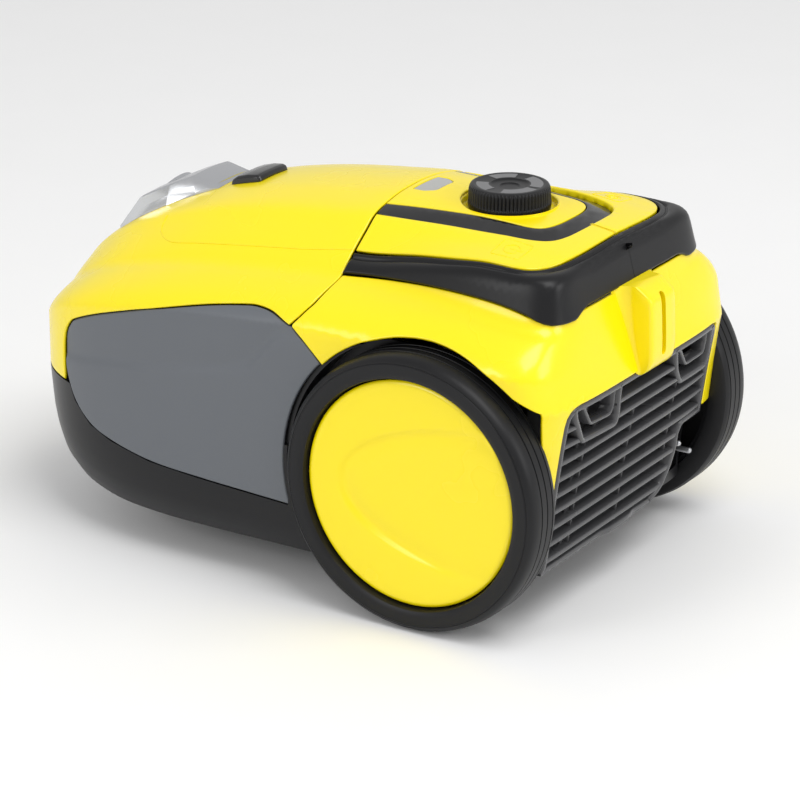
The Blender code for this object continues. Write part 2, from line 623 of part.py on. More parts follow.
# ---- base, grille and filter -----------------------------------------------------------------
def make_base():
    base = body_loft("base_housing", 0.0, material="black_satin")
    cut(base, box("above_band", (-200, -260, BAND_Z), (200, 260, 300)))
    cut(base, prism("panel_recess", shifted(PANEL_OUTLINE, 0.5), 'X', -200, 200))
    core = cut(body_loft("base_core", SKIN + 0.6), box("above_core", (-200, -260, 176), (200, 260, 300)))
    join(base, core)
    tail = [(162, 176.5), (162, 128), (180, 100), (174, 44), (172, 10), (260, 10), (260, 176.5)]
    cut(base, prism("base_tail", tail, 'X', -200, 200))
    for side in (1, -1):
        well = cylinder("wheel_well", WELL_R, (side * WELL_X, AXLE_Y, AXLE_Z),
                        (side * 180, AXLE_Y, AXLE_Z), segments=48)
        cut(base, well)
    bays = (("bag_bay", (-140, -260, 25.2), (140, 6, 300)), ("motor_bay", (-140, 9, 25.2), (140, 300, 300)))
    for name, low, high in bays:
        bay = box(name, low, high)
        keep(bay, CORE_INNER)
        for side in (1, -1):
            cut(bay, cylinder("well_wall", WELL_R + 2.6, (side * (WELL_X - 2.6), AXLE_Y, AXLE_Z),
                              (side * 180, AXLE_Y, AXLE_Z), segments=48))
        cut(bay, cylinder("caster_pocket_wall", 29, (0, CASTER_Y, 0), (0, CASTER_Y, 49), segments=32))
        cut(base, bay)
    cut(base, cylinder("caster_pocket", 26.4, (0, CASTER_Y, 0), (0, CASTER_Y, 46.4), segments=32))
    cut(base, cylinder("caster_socket", 5.3, (0, CASTER_Y, 40), (0, CASTER_Y, 60), segments=20))
    cut(base, cylinder("motor_intake", 17, (MOTOR_X, 0, MOTOR_Z), (MOTOR_X, 20, MOTOR_Z), segments=24))
    for side in (1, -1):
        boss = cylinder("axle_boss", 12, (side * (WELL_X - 14), AXLE_Y, AXLE_Z),
                        (side * (WELL_X + 2.5), AXLE_Y, AXLE_Z), segments=24)
        join(base, boss)
        cut(base, cylinder("axle_hole", 5.3, (side * 80, AXLE_Y, AXLE_Z), (side * 150, AXLE_Y, AXLE_Z),
                           segments=20))
    return base


def make_grille():
    grille = body_loft("exhaust_grille", 0.6, -60, TAIL_Y, "black_gloss")
    cut(grille, body_loft("grille_inner", 4.6, -60, TAIL_Y))
    keep(grille, box("grille_region", (-97.9, 180, 36), (97.9, 240, 150.1)))
    for i in range(11):
        z = 40.5 + 9.9 * i
        low_x = -93.5 if z > 86 else -60.0
        slot = box("grille_slot", (low_x, 170, z), (93.5, 240, z + 6.4))
        cut(grille, slot)
    join(grille, box("grille_rib", (-1.2, 192, 40), (1.2, 197.5, 145)))
    corner = [(-62, 30), (-60, 60), (-64, 86), (-100, 86), (-100, 30)]
    return cut(grille, prism("plug_corner", corner, 'Y', 150, 240))


def make_filter():
    frame = box("filter_frame", (-88, 163.5, 96), (88, 170.5, 160), "black_satin")
    cut(frame, box("filter_opening", (-82, 150, 102), (82, 180, 154)))
    box("exhaust_filter", (-81.5, 164.2, 102.5), (81.5, 169.8, 153.5), "filter", rounding=1.0)


# ---- wheels and caster --------------------------------------------------------------------------
def make_wheel(suffix, side):
    """Tyre, rim, yellow cap and axle pin of one rear wheel."""
    centre, out = (0, AXLE_Y, AXLE_Z), (side, 0, 0)
    tyre = [(76.3, TYRE_OUT - 1.5), (80.0, TYRE_OUT), (85.0, TYRE_OUT - 0.6), (88.6, TYRE_OUT - 4.0),
            (WHEEL_R, TYRE_OUT - 9.0), (WHEEL_R, TYRE_IN + 7.0), (87.0, TYRE_IN), (76.3, TYRE_IN)]
    turned("tyre_" + suffix, tyre, centre, out, "tyre", 40)
    rim = [(76.0, 139.4), (76.0, TYRE_IN + 2), (73.6, TYRE_IN + 2), (71.0, 125.5), (16.0, 120.0),
           (12.5, 111.6), (5.5, 111.6), (5.5, 126.5), (15.0, 126.5), (72.0, 129.5), (74.2, 132.5),
           (74.2, 139.4)]
    turned("wheel_rim_" + suffix, rim, centre, out, "black_satin", 40)
    cap = [(0, 137.6), (40, 139.6), (68, 140.2), (HUB_CAP_R, 138.4), (HUB_CAP_R, 136.4), (70.2, 134.0),
           (68, 136.6), (40, 136.6), (0, 135.0)]
    turned("hub_cap_" + suffix, cap, centre, out, "yellow", 40)
    pin = [(0, 131.0), (8.5, 131.0), (8.5, 128.6), (5.0, 128.6), (5.0, WELL_X - 12.5), (0, WELL_X - 12.5)]
    turned("axle_pin_" + suffix, pin, centre, out, "steel", 20)


def make_caster():
    """Swivelling front caster with its trailing wheel."""
    wheel_y, wheel_z = CASTER_Y + CASTER_TRAIL, CASTER_WHEEL_R
    fork = turned("caster_fork", [(0, 52.4), (4.9, 52.4), (4.9, 45.8), (21, 45.8), (21, 42.6), (0, 42.6)],
                  (0, CASTER_Y, 0), (0, 0, 1), "black_satin", 28)
    cheek = [(wheel_y - 12, 43.5), (wheel_y - 5, 9.5), (wheel_y, 7.5), (wheel_y + 5, 9.5),
             (wheel_y + 9.5, 26), (wheel_y + 9.5, 43.5)]
    for x in (-9.5, 6.5):
        join(fork, prism("caster_cheek", cheek, 'X', x, x + 3))
    cut(fork, cylinder("caster_axle_hole", 1.8, (-12, wheel_y, wheel_z), (12, wheel_y, wheel_z),
                       segments=12))
    cylinder("caster_axle", 1.5, (-9.3, wheel_y, wheel_z), (9.3, wheel_y, wheel_z), "steel", segments=12)
    profile = [(CASTER_WHEEL_R - 1.5, 6.0), (CASTER_WHEEL_R, 4.5), (CASTER_WHEEL_R, -4.5),
               (CASTER_WHEEL_R - 1.5, -6.0), (1.8, -6.0), (1.8, 6.0)]
    turned("caster_wheel", profile, (0, wheel_y, wheel_z), (1, 0, 0), "tyre", 28)


# ---- dust bag ---------------------------------------------------------------------------------------
def make_bag():
    """Filter bag with its stiff collar plate, held by a frame in the bag bay."""
    outline = [(-148, 64), (-138, 112), (-112, 148), (-86, 176), (-52, 184), (-14, 178), (-3, 150),
               (-3, 42), (-20, 32), (-92, 32), (-106, 56), (-138, 56)]
    bag = prism("dust_bag", outline, 'X', -84, 84, "paper")
    bevel = bag.modifiers.new("soft_edges", 'BEVEL')
    bevel.width = 12 * MM
    bevel.segments = 2
    bevel.limit_method = 'ANGLE'
    bevel.angle_limit = math.radians(50)
    plate = box("bag_collar", (-38, 58.2, -30), (38, 60.2, 34), "card")
    frame = box("bag_holder", (-42, 57.9, -36), (42, 65.9, 36), "white_plastic")
    cut(frame, box("bag_holder_slot", (-38.4, 57.8, -30.4), (38.4, 60.5, 40)))
    cut(frame, cylinder("bag_holder_hole", 26, (0, 40, 0), (0, 80, 0), segments=28))
    cut(plate, cylinder("bag_collar_hole", 16.5, (0, 40, 0), (0, 80, 0), segments=28))
    for obj in (plate, frame, bpy.data.objects["bag_holder_slot"], bpy.data.objects["bag_holder_hole"],
                bpy.data.objects["bag_collar_hole"]):
        obj.rotation_euler = (-INLET_TILT, 0, 0)
        obj.location = Vector(INLET_CENTRE) * MM


# ---- motor ---------------------------------------------------------------------------------------------
def make_motor():
    centre, back = (MOTOR_X, 0, MOTOR_Z), (0, 1, 0)
    housing = [(MOTOR_R, 138.0), (MOTOR_R, 22.0), (18.0, 22.0), (18.0, 24.4), (MOTOR_R - 2.4, 24.4),
               (MOTOR_R - 2.4, 135.6), (30.0, 135.6), (30.0, 138.0)]
    turned("motor_housing", housing, centre, back, "white_plastic", 32)
    seal = [(30.0, 21.7), (30.0, 9.4), (20.0, 9.4), (20.0, 21.7)]
    turned("motor_seal", seal, centre, back, "seal", 24)
    mount = [(MOTOR_R + 4, 124), (MOTOR_R + 4, 112), (MOTOR_R + GAP, 112), (MOTOR_R + GAP, 124)]
    ring = turned("motor_mount", mount, centre, back, "seal", 32)
    cut(ring, box("mount_floor", (-60, 100, 0), (160, 140, 30)))
    back_plate = [(44, 49), (44, 46.6), (4.3, 46.6), (4.3, 49)]
    impeller = turned("impeller", back_plate, centre, back, "steel", 28)
    vane = box("vane", (14, 35, -0.8), (42, 47.5, 0.8))
    vane.location = Vector(centre) * MM
    for i in range(9):
        blade = bpy.data.objects.new("vane_cutter", vane.data)
        blade.location = Vector(centre) * MM
        blade.rotation_euler = (0, math.tau * i / 9, 0)
        blade.hide_render = True
        blade.display_type = 'WIRE'
        CUTTERS.objects.link(blade)
        join(impeller, blade)
    shroud = [(44, 36), (44, 34.4), (16, 29.4), (16, 31), (42, 36)]
    join(impeller, turned("impeller_shroud", shroud, centre, back, segments=28))
    armature = [(0, 134), (4.0, 134), (4.0, 122), (11, 122), (11, 108), (21, 104), (21, 70), (12, 66),
                (4.0, 64), (4.0, 40), (0, 40)]
    turned("armature", armature, centre, back, "copper", 20)
    stator = [(36, 102), (36, 72), (22, 72), (22, 102)]
    turned("stator", stator, centre, back, "steel", 24)
    box("motor_filter", (12, 0.0, 62), (60, 5.4, 122), "filter", rounding=1.0)


# ---- cord reel and plug ----------------------------------------------------------------------------------
def make_reel():
    """Spring-loaded cord reel on its bracket, the wound cord, the brake and the parked plug."""
    centre, axis = (REEL_X, REEL_Y, REEL_Z), (1, 0, 0)
    drum = [(REEL_R, 22.6), (REEL_R, 21.0), (23.5, 21.0), (23.5, -21.0), (REEL_R, -21.0),
            (REEL_R, -22.6), (7, -22.6), (7, 22.6)]
    turned("cord_reel", drum, centre, axis, "white_plastic", 36)
    turned("cord_winding", [(50, 20.6), (50, -20.6), (23.8, -20.6), (23.8, 20.6)], centre, axis,
           "black_satin", 32)
    turned("reel_axle", [(0, 29.4), (6.6, 29.4), (6.6, -33.6), (0, -33.6)], centre, axis, "steel", 20)
    turned("reel_spring_case", [(20, -23.2), (20, -32.8), (7, -32.8), (7, -31.4), (18.6, -31.4),
                                (18.6, -24.6), (7, -24.6), (7, -23.2)],
           centre, axis, "white_plastic", 28)
    plate = [(66, 29.2), (94, 29.2), (94, 96), (96, 150), (109, 180), (109, 191), (99, 191), (70, 150)]
    bracket = prism("reel_bracket", plate, 'X', -43.6, -40.8, "black_satin")
    cut(bracket, cylinder("reel_axle_hole", 6.9, (-60, REEL_Y, REEL_Z), (-30, REEL_Y, REEL_Z),
                          segments=20))
    pivot_y, pivot_z = 104.0, 186.0
    join(bracket, cylinder("brake_pin", 1.6, (-59.5, pivot_y, pivot_z), (-41.5, pivot_y, pivot_z),
                           segments=12))
    lever = [(pivot_y - 9, 167.4), (pivot_y - 4.4, 167.2), (pivot_y + 4.4, pivot_z - 3.4),
             (pivot_y + 24, 194), (pivot_y + 24, 198.9), (pivot_y + 17, 198.9), (pivot_y, pivot_z + 4.6),
             (pivot_y - 5, pivot_z + 2)]
    arm = prism("brake_lever", lever, 'X', -59, -44.2, "red", (0, pivot_y, pivot_z))
    cut(arm, cylinder("lever_hole", 1.9, (-70, pivot_y, pivot_z), (-30, pivot_y, pivot_z), segments=12))


def make_plug():
    """Europlug resting in the cord recess, with two pins facing out, and its lead."""
    lead = [Vector(p) for p in ((-70, 84, 58.0), (-70.6, 94, 58.2), (-72.5, 106, 59.4), (-75, 118, 61.4),
                                (-77.4, 129, 63.4), (-78.8, 138.0, 64.4))]
    tube_curve("cord_lead", lead, CORD_R, "black_satin")
    x, y, z = PLUG_POINT
    bm = bmesh.new()
    rings = []
    for along, half_x, half_z in ((-35, 4.2, 4.2), (-22, 6.5, 6.0), (-12, 14.0, 6.8), (0, 16.0, 6.8)):
        ring = [(half_x * math.copysign(abs(math.cos(a)) ** 0.6, math.cos(a)),
                 half_z * math.copysign(abs(math.sin(a)) ** 0.6, math.sin(a)))
                for a in (math.tau * i / 16 for i in range(16))]
        rings.append([bm.verts.new((px, along, pz)) for px, pz in ring])
    for ring, following in zip(rings, rings[1:]):
        for i in range(16):
            bm.faces.new((ring[i], ring[(i + 1) % 16], following[(i + 1) % 16], following[i]))
    bm.faces.new(rings[0])
    bm.faces.new(rings[-1])
    tilt = math.radians(-33)
    bmesh.ops.rotate(bm, verts=bm.verts, matrix=Matrix.Rotation(tilt, 3, 'Y'))
    bmesh.ops.translate(bm, verts=bm.verts, vec=(x, y, z))
    add_object("plug_body", bm, "black_satin")
    for name, offset in (("plug_pin_a", 9.3), ("plug_pin_b", -9.3)):
        centre = Vector((x + offset * math.cos(tilt), y, z - offset * math.sin(tilt)))
        cylinder(name, 2.0, centre + Vector((0, GAP, 0)), centre + Vector((0, 19, 0)), "steel",
                 segments=14)


make_side_panels()
make_front_cover()
make_hinge_arms()
make_inlet_hood()
make_inlet_parts()
make_cover_latch()
make_rear_housing()
make_handle()
make_deck()
make_trim_and_panel()
make_indicator()
make_pedal("power_pedal", 1, "power_pedal_spring")
make_pedal("rewind_pedal", -1, "rewind_pedal_spring")
make_knob()
make_base()
make_grille()
make_filter()
make_wheel("left", 1)
make_wheel("right", -1)
make_caster()
make_bag()
make_motor()
make_reel()
make_plug()
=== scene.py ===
import math

import bmesh
import bpy
import numpy as np
from mathutils import Matrix, Vector
from mathutils.geometry import delaunay_2d_cdt


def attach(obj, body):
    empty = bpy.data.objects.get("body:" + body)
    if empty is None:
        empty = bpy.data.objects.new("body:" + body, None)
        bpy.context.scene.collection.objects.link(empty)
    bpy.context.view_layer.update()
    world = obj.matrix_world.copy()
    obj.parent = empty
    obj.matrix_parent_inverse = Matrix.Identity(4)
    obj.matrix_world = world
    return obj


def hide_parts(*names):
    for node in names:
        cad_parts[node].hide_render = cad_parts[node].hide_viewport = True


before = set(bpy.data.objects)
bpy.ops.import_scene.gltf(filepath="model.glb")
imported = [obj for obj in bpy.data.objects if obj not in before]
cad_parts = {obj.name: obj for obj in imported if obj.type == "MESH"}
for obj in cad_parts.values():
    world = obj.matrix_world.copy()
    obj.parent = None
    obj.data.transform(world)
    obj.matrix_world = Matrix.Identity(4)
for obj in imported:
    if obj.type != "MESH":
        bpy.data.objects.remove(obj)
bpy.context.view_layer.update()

# Sizes are millimetres until a mesh is made; +Y is the tail, +X the machine's left side.
MM = 0.001
NOSE, TAIL, HALF, MID = -217.5, 209.0, 130.0, 100.0
SEAM = 38.5
AXLE_Y, AXLE_Z = 116.5, 90.0
KNOB_Y = 105.0


# ---- materials -----------------------------------------------------------------------
def node_material(name, colour, roughness, metallic=0.0, grain=900.0, bump=0.06, vary=0.06,
                  coat=0.0, fine_distance=0.00004, wear=0.0, specular=0.5):
    """Principled material with procedural colour variation, roughness mottling and grain."""
    material = bpy.data.materials.new(name)
    material.use_nodes = True
    tree = material.node_tree
    shader = tree.nodes["Principled BSDF"]
    shader.inputs["Metallic"].default_value = metallic
    shader.inputs["Coat Weight"].default_value = coat
    shader.inputs["Coat Roughness"].default_value = 0.06
    shader.inputs["Specular IOR Level"].default_value = specular
    coords = tree.nodes.new("ShaderNodeTexCoord")

    broad = tree.nodes.new("ShaderNodeTexNoise")
    broad.inputs["Scale"].default_value = 14.0
    broad.inputs["Detail"].default_value = 3.0
    tree.links.new(coords.outputs["Object"], broad.inputs["Vector"])
    tint = tree.nodes.new("ShaderNodeMix")
    tint.data_type = 'RGBA'
    tint.inputs["A"].default_value = (*[c * (1 - vary) for c in colour], 1)
    tint.inputs["B"].default_value = (*[min(c * (1 + vary), 1) for c in colour], 1)
    tree.links.new(broad.outputs["Fac"], tint.inputs["Factor"])
    colour_out = tint.outputs["Result"]

    if wear:
        geometry = tree.nodes.new("ShaderNodeNewGeometry")
        edge = tree.nodes.new("ShaderNodeMapRange")
        edge.inputs["From Min"].default_value = 0.52
        edge.inputs["From Max"].default_value = 0.62
        edge.inputs["To Max"].default_value = wear
        tree.links.new(geometry.outputs["Pointiness"], edge.inputs["Value"])
        worn = tree.nodes.new("ShaderNodeMix")
        worn.data_type = 'RGBA'
        worn.inputs["B"].default_value = (*[min(c * 2.2 + 0.05, 1) for c in colour], 1)
        tree.links.new(colour_out, worn.inputs["A"])
        tree.links.new(edge.outputs["Result"], worn.inputs["Factor"])
        colour_out = worn.outputs["Result"]
    tree.links.new(colour_out, shader.inputs["Base Color"])

    fine = tree.nodes.new("ShaderNodeTexNoise")
    fine.inputs["Scale"].default_value = grain
    fine.inputs["Detail"].default_value = 4.0
    tree.links.new(coords.outputs["Object"], fine.inputs["Vector"])
    rough = tree.nodes.new("ShaderNodeMapRange")
    rough.inputs["To Min"].default_value = roughness * 0.85
    rough.inputs["To Max"].default_value = min(roughness * 1.2, 1.0)
    tree.links.new(broad.outputs["Fac"], rough.inputs["Value"])
    tree.links.new(rough.outputs["Result"], shader.inputs["Roughness"])
    relief = tree.nodes.new("ShaderNodeBump")
    relief.inputs["Strength"].default_value = bump
    relief.inputs["Distance"].default_value = fine_distance
    tree.links.new(fine.outputs["Fac"], relief.inputs["Height"])
    tree.links.new(relief.outputs["Normal"], shader.inputs["Normal"])
    return material


YELLOW = node_material("yellow_plastic", (0.96, 0.77, 0.0), 0.26, bump=0.03, vary=0.004, coat=0.15)
GREY = node_material("grey_plastic", (0.115, 0.125, 0.14), 0.42, bump=0.25, grain=2600, vary=0.03)
BLACK = node_material("black_plastic", (0.008, 0.008, 0.009), 0.32, bump=0.3, grain=2400, vary=0.08,
                      specular=0.28)
GLOSS = node_material("black_gloss", (0.008, 0.008, 0.009), 0.2, bump=0.05, coat=0.2)
RUBBER = node_material("tyre_rubber", (0.007, 0.007, 0.008), 0.4, bump=0.35, grain=1700, vary=0.15,
                       specular=0.28)
SEAL = node_material("seal_rubber", (0.03, 0.03, 0.032), 0.75, bump=0.3, vary=0.1)
SILVER = node_material("silver_plastic", (0.56, 0.57, 0.59), 0.22, metallic=0.9, bump=0.03, vary=0.02)
STEEL = node_material("steel", (0.56, 0.57, 0.59), 0.28, metallic=1.0, bump=0.08, vary=0.05)
COPPER = node_material("copper_winding", (0.72, 0.32, 0.15), 0.34, metallic=1.0, grain=1500, bump=0.8)
LENS = node_material("window_lens", (0.40, 0.40, 0.38), 0.12, bump=0.02, coat=0.4)
WHITE = node_material("white_plastic", (0.72, 0.73, 0.73), 0.42, bump=0.12, vary=0.02)
PAPER = node_material("bag_paper", (0.76, 0.71, 0.62), 0.9, grain=700, bump=0.7,
                      fine_distance=0.0003, vary=0.06)
CARD = node_material("pressed_card", (0.55, 0.45, 0.32), 0.85, grain=500, bump=0.6,
                     fine_distance=0.0002, vary=0.1)
FLEECE = node_material("filter_fleece", (0.84, 0.85, 0.84), 0.95, grain=400, bump=0.9,
                       fine_distance=0.0006, vary=0.04)
GRILLE = node_material("grille_plastic", (0.060, 0.060, 0.063), 0.26, bump=0.12, grain=2000, vary=0.08,
                       coat=0.2)
# Near-black material for the sheet behind the grille louvres: painted shade for the dark inside of the
# grille.
MESH = node_material("grille_shade_black", (0.006, 0.006, 0.006), 0.8, bump=0.8, grain=300,
                     fine_distance=0.0004, vary=0.3)
KNOB_MARK = node_material("knob_mark", (0.16, 0.16, 0.165), 0.4, bump=0.05)
RED = node_material("red_plastic", (0.50, 0.03, 0.02), 0.35, bump=0.05)
BOARD = node_material("circuit_board", (0.03, 0.17, 0.08), 0.4, bump=0.15, vary=0.12)


# ---- master surface --------------------------------------------------------------------
def monotone(points, flat_start=False):
    """Monotone cubic through (position, value) points, for arrays."""
    x, y = np.array(points, float).T
    step = np.diff(y) / np.diff(x)
    product = step[:-1] * step[1:]
    inner = np.where(product > 0, 2 * product / np.where(product > 0, step[:-1] + step[1:], 1), 0)
    slope = np.concatenate([[0.0 if flat_start else step[0]], inner, [step[-1]]])

    def value(q):
        q = np.clip(q, x[0], x[-1])
        i = np.clip(np.searchsorted(x, q, side='right') - 1, 0, len(x) - 2)
        span = x[i + 1] - x[i]
        t = (q - x[i]) / span
        ends = y[i] * (1 + 2 * t) * (1 - t) ** 2 + y[i + 1] * t * t * (3 - 2 * t)
        return ends + span * t * (1 - t) * (slope[i] * (1 - t) - slope[i + 1] * t)
    return value


crown_z = monotone([(-217.5, 112), (-213, 132), (-205, 153.5), (-190, 174), (-170, 190), (-150, 202),
                    (-120, 214.5), (-80, 226.5), (-40, 234), (0, 239), (40, 242.5), (90, 241.5),
                    (130, 239), (165, 234.5), (190, 231.5), (203, 229.5), (209, 226)])
belly_z = monotone([(-217.5, 92), (-212, 78), (-203, 62), (-190, 47), (-172, 35), (-150, 28),
                    (-110, 23), (-60, 22), (60, 22), (150, 26), (190, 34), (209, 44)])
FRONT = np.array([(0, 0), (.15, .006), (.29, .025), (.41, .053), (.5, .109), (.605, .179),
                  (.655, .218), (.708, .263), (.82, .305), (.908, .347), (.965, .39), (1, .449),
                  (1, .6), (1, 1)])
REAR = np.array([(0, 0), (.15, .004), (.29, .012), (.41, .022), (.5, .034), (.643, .052),
                 (.695, .07), (.775, .268), (.86, .31), (.93, .36), (.975, .405), (1, .455),
                 (1, .6), (1, 1)])
LOWER = np.array([(1, 1), (1, .45), (.985, .25), (.95, .1), (.88, .02), (.75, 0), (0, 0)])


def travel(points, scale):
    steps = np.hypot(*(np.diff(points, axis=0) * scale).T)
    return np.concatenate([[0], np.cumsum(steps)]) / steps.sum()


UPPER_AT = travel((FRONT + REAR) / 2, (130, 142))
LOWER_AT = travel(LOWER, (130, 78))
front_x = monotone(list(zip(UPPER_AT, FRONT[:, 0])))
front_drop = monotone(list(zip(UPPER_AT, FRONT[:, 1])), True)
rear_x = monotone(list(zip(UPPER_AT, REAR[:, 0])))
rear_drop = monotone(list(zip(UPPER_AT, REAR[:, 1])), True)
lower_x = monotone(list(zip(LOWER_AT, LOWER[:, 0])))
lower_rise = monotone(list(zip(LOWER_AT, LOWER[:, 1])))


def half_width(t):
    nose = HALF * (1 - np.clip(t / NOSE, 0, 1) ** 3.4) ** (1 / 3.1)
    tail = HALF * (1 - np.clip((t - 60) / (TAIL - 60), 0, 1) ** 12) ** 0.2
    return np.where(t < 0, nose, tail)


def lean(t, z):
    tail = (22 * np.clip((z - 150) / 78, 0, 1.2) ** 0.9
            + 20 * np.clip((150 - z) / 110, 0, 1.3) ** 0.8)
    nose = 10 * np.clip((MID - z) / 60, 0, 1.5) ** 1.3
    return (nose * np.clip(t / NOSE, 0, 1) ** 4
            - tail * np.clip((t - 60) / (TAIL - 60), 0, 1) ** 8)


PLAN_T = NOSE + (TAIL - NOSE) * (0.5 - 0.5 * np.cos(np.pi * np.linspace(0, 1, 40001)))
PLAN_V = np.concatenate([[0], np.cumsum(np.hypot(np.diff(half_width(PLAN_T)), np.diff(PLAN_T)))])
V_END = PLAN_V[-1]
S_SCALE = 200.0


def v_of(t):
    return np.interp(t, PLAN_T, PLAN_V)


def share_and_height(s, t):
    """Share of the half width and height at section position s (1 is the widest line, 2 the keel)."""
    a = np.abs(s)
    blend = np.clip((t - 40) / 125, 0, 1)
    blend = blend * blend * (3 - 2 * blend)
    share = front_x(a) * (1 - blend) + rear_x(a) * blend
    drop = front_drop(a) * (1 - blend) + rear_drop(a) * blend
    crown, belly = crown_z(t), belly_z(t)
    high = crown - (crown - MID) * drop
    low = belly + (MID - belly) * lower_rise(a - 1)
    return np.where(a <= 1, share, lower_x(a - 1)), np.where(a <= 1, high, low)


def place(s, v, relief=None):
    """Point of the master surface; relief raises it along its normal."""
    t = np.interp(v, PLAN_V, PLAN_T)
    share, z = share_and_height(s, t)
    point = np.stack([np.sign(s) * half_width(t) * share, t + lean(t, z), z], -1)
    if relief is not None:
        point = point + normal_at(s, v) * relief(point)[:, None]
    return point


def slopes(s, v, relief=None):
    ds, dv = 0.002, 0.15
    v0, v1 = np.clip(v - dv, 0, V_END), np.clip(v + dv, 0, V_END)
    along_s = (place(s + ds, v, relief) - place(s - ds, v, relief)) / (2 * ds)
    along_v = (place(s, v1, relief) - place(s, v0, relief)) / (v1 - v0)[:, None]
    return along_s, along_v


def normal_at(s, v, relief=None):
    along_s, along_v = slopes(s, v, relief)
    n = np.cross(along_s, along_v)
    length = np.linalg.norm(n, axis=1, keepdims=True)
    tip = np.stack([np.zeros(len(v)), np.where(v > V_END / 2, 0.7, -0.7), np.full(len(v), 0.7)], 1)
    return np.where(length > 1e-6, n / np.maximum(length, 1e-9), tip)


def bisect(inside, low, high, count=44):
    """Largest value, per element, for which inside() still holds."""
    for _ in range(count):
        middle = (low + high) / 2
        good = inside(middle)
        low, high = np.where(good, middle, low), np.where(good, high, middle)
    return (low + high) / 2


def from_side(points):
    """(s, v) of side-view (y, z) points on the +X side."""
    y, z = np.array(points, float).T
    t = y.copy()
    for _ in range(60):
        t = t + 0.6 * (y - lean(t, z) - t)
    s = bisect(lambda q: share_and_height(q, t)[1] > z, np.zeros_like(z), np.full_like(z, 1.9))
    return np.stack([s, v_of(t)], 1)


def from_plan(points):
    """(s, v) of plan-view (x, y) points on the top."""
    x, y = np.array(points, float).T
    t = y.copy()
    for _ in range(40):
        width = np.maximum(half_width(t), 1e-6)
        s = bisect(lambda q: share_and_height(q, t)[0] * width < x, np.zeros_like(x), np.ones_like(x))
        t = t + 0.5 * (y - lean(t, share_and_height(s, t)[1]) - t)
    return np.stack([s, v_of(t)], 1)


def from_rear(points):
    """(s, v) of rear-view (x, z) points on the tail face."""
    x, z = np.array(points, float).T

    def section(v):
        t = np.interp(v, PLAN_V, PLAN_T)
        return bisect(lambda q: share_and_height(q, t)[1] > z, np.zeros_like(z), np.full_like(z, 1.9)), t
    low, high = np.full_like(x, v_of(185.0)), np.full_like(x, V_END)

    def wide(v):
        s, t = section(v)
        return share_and_height(s, t)[0] * half_width(t) > x
    v = bisect(wide, low, high)
    return np.stack([section(v)[0], v], 1)


def dense(points, step=2.5, closed=False):
    """Points added along a polyline so that none are further apart than step."""
    points = np.array(points, float)
    if closed:
        points = np.vstack([points, points[:1]])
    result = []
    for a, b in zip(points, points[1:]):
        count = max(int(math.ceil(np.linalg.norm(b - a) / step)), 1)
        result += [a + (b - a) * k / count for k in range(count)]
    return np.array(result if closed else result + [points[-1]])


def rounded(points, radius, closed=False, count=4):
    """Corners of a polyline replaced by arcs; radius is one number or one per point."""
    points = np.array(points, float)
    total = len(points)
    radii = np.full(total, radius, float) if np.isscalar(radius) else np.array(radius, float)
    result = []
    for i in range(total):
        if not closed and i in (0, total - 1) or radii[i] <= 0:
            result.append(points[i])
            continue
        before, here, after = points[i - 1], points[i], points[(i + 1) % total]
        a, b = before - here, after - here
        la, lb = np.linalg.norm(a), np.linalg.norm(b)
        a, b = a / la, b / lb
        half = math.acos(max(-1.0, min(1.0, float(a @ b)))) / 2
        if half > math.pi / 2 - 0.02:
            result.append(here)
            continue
        reach = min(radii[i] / math.tan(half), 0.49 * la, 0.49 * lb)
        start, end = here + a * reach, here + b * reach
        for k in range(count + 1):
            w = k / count
            result.append((1 - w) ** 2 * start + 2 * w * (1 - w) * here + w * w * end)
    return np.array(result)


def arc(centre, radius, start, end, count):
    angles = np.radians(np.linspace(start, end, count + 1))
    return np.stack([centre[0] + radius * np.cos(angles), centre[1] + radius * np.sin(angles)], 1)


def inside_polygon(points, polygon):
    result = np.zeros(len(points), bool)
    x, y = points.T
    for (ax, ay), (bx, by) in zip(polygon, np.roll(polygon, -1, axis=0)):
        crosses = (ay > y) != (by > y)
        with np.errstate(divide='ignore', invalid='ignore'):
            at = ax + (y - ay) * (bx - ax) / (by - ay)
        result ^= crosses & (x < at)
    return result


def nearest(points, samples, block=2000):
    result = np.empty(len(points))
    for i in range(0, len(points), block):
        gap = points[i:i + block, None, :] - samples[None, :, :]
        result[i:i + block] = np.sqrt((gap ** 2).sum(-1).min(1))
    return result


def register(obj, body, nodes=()):
    """Put a piece in the scene, on its body and the nodes it stands for."""
    if obj.name not in bpy.context.scene.collection.objects:
        bpy.context.scene.collection.objects.link(obj)
    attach(obj, body)
    if nodes:
        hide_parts(*nodes)
    return obj


def signed_area(outline):
    """Twice the area inside a closed outline, positive when it runs anticlockwise."""
    x, y = outline[:, 0], outline[:, 1]
    return np.sum(x * np.roll(y, -1) - np.roll(x, -1) * y)


def ring_faces(rings, sides, half=None):
    """Faces of a closed tube through rings of points, with both ends capped.

    half is the number of points from pole to pole in a symmetric ring, whose caps are strips.
    """
    faces = [(i * sides + k, i * sides + (k + 1) % sides, (i + 1) * sides + (k + 1) % sides,
              (i + 1) * sides + k) for i in range(rings - 1) for k in range(sides)]
    if half is None:
        return faces + [tuple(range(sides))[::-1], tuple(range((rings - 1) * sides, rings * sides))]
    for start in (0, (rings - 1) * sides):
        for k in range(half - 1):
            cap = [k, k + 1, (sides - k - 1) % sides, (sides - k) % sides]
            faces.append(tuple(start + i for i in dict.fromkeys(cap)))
    return faces


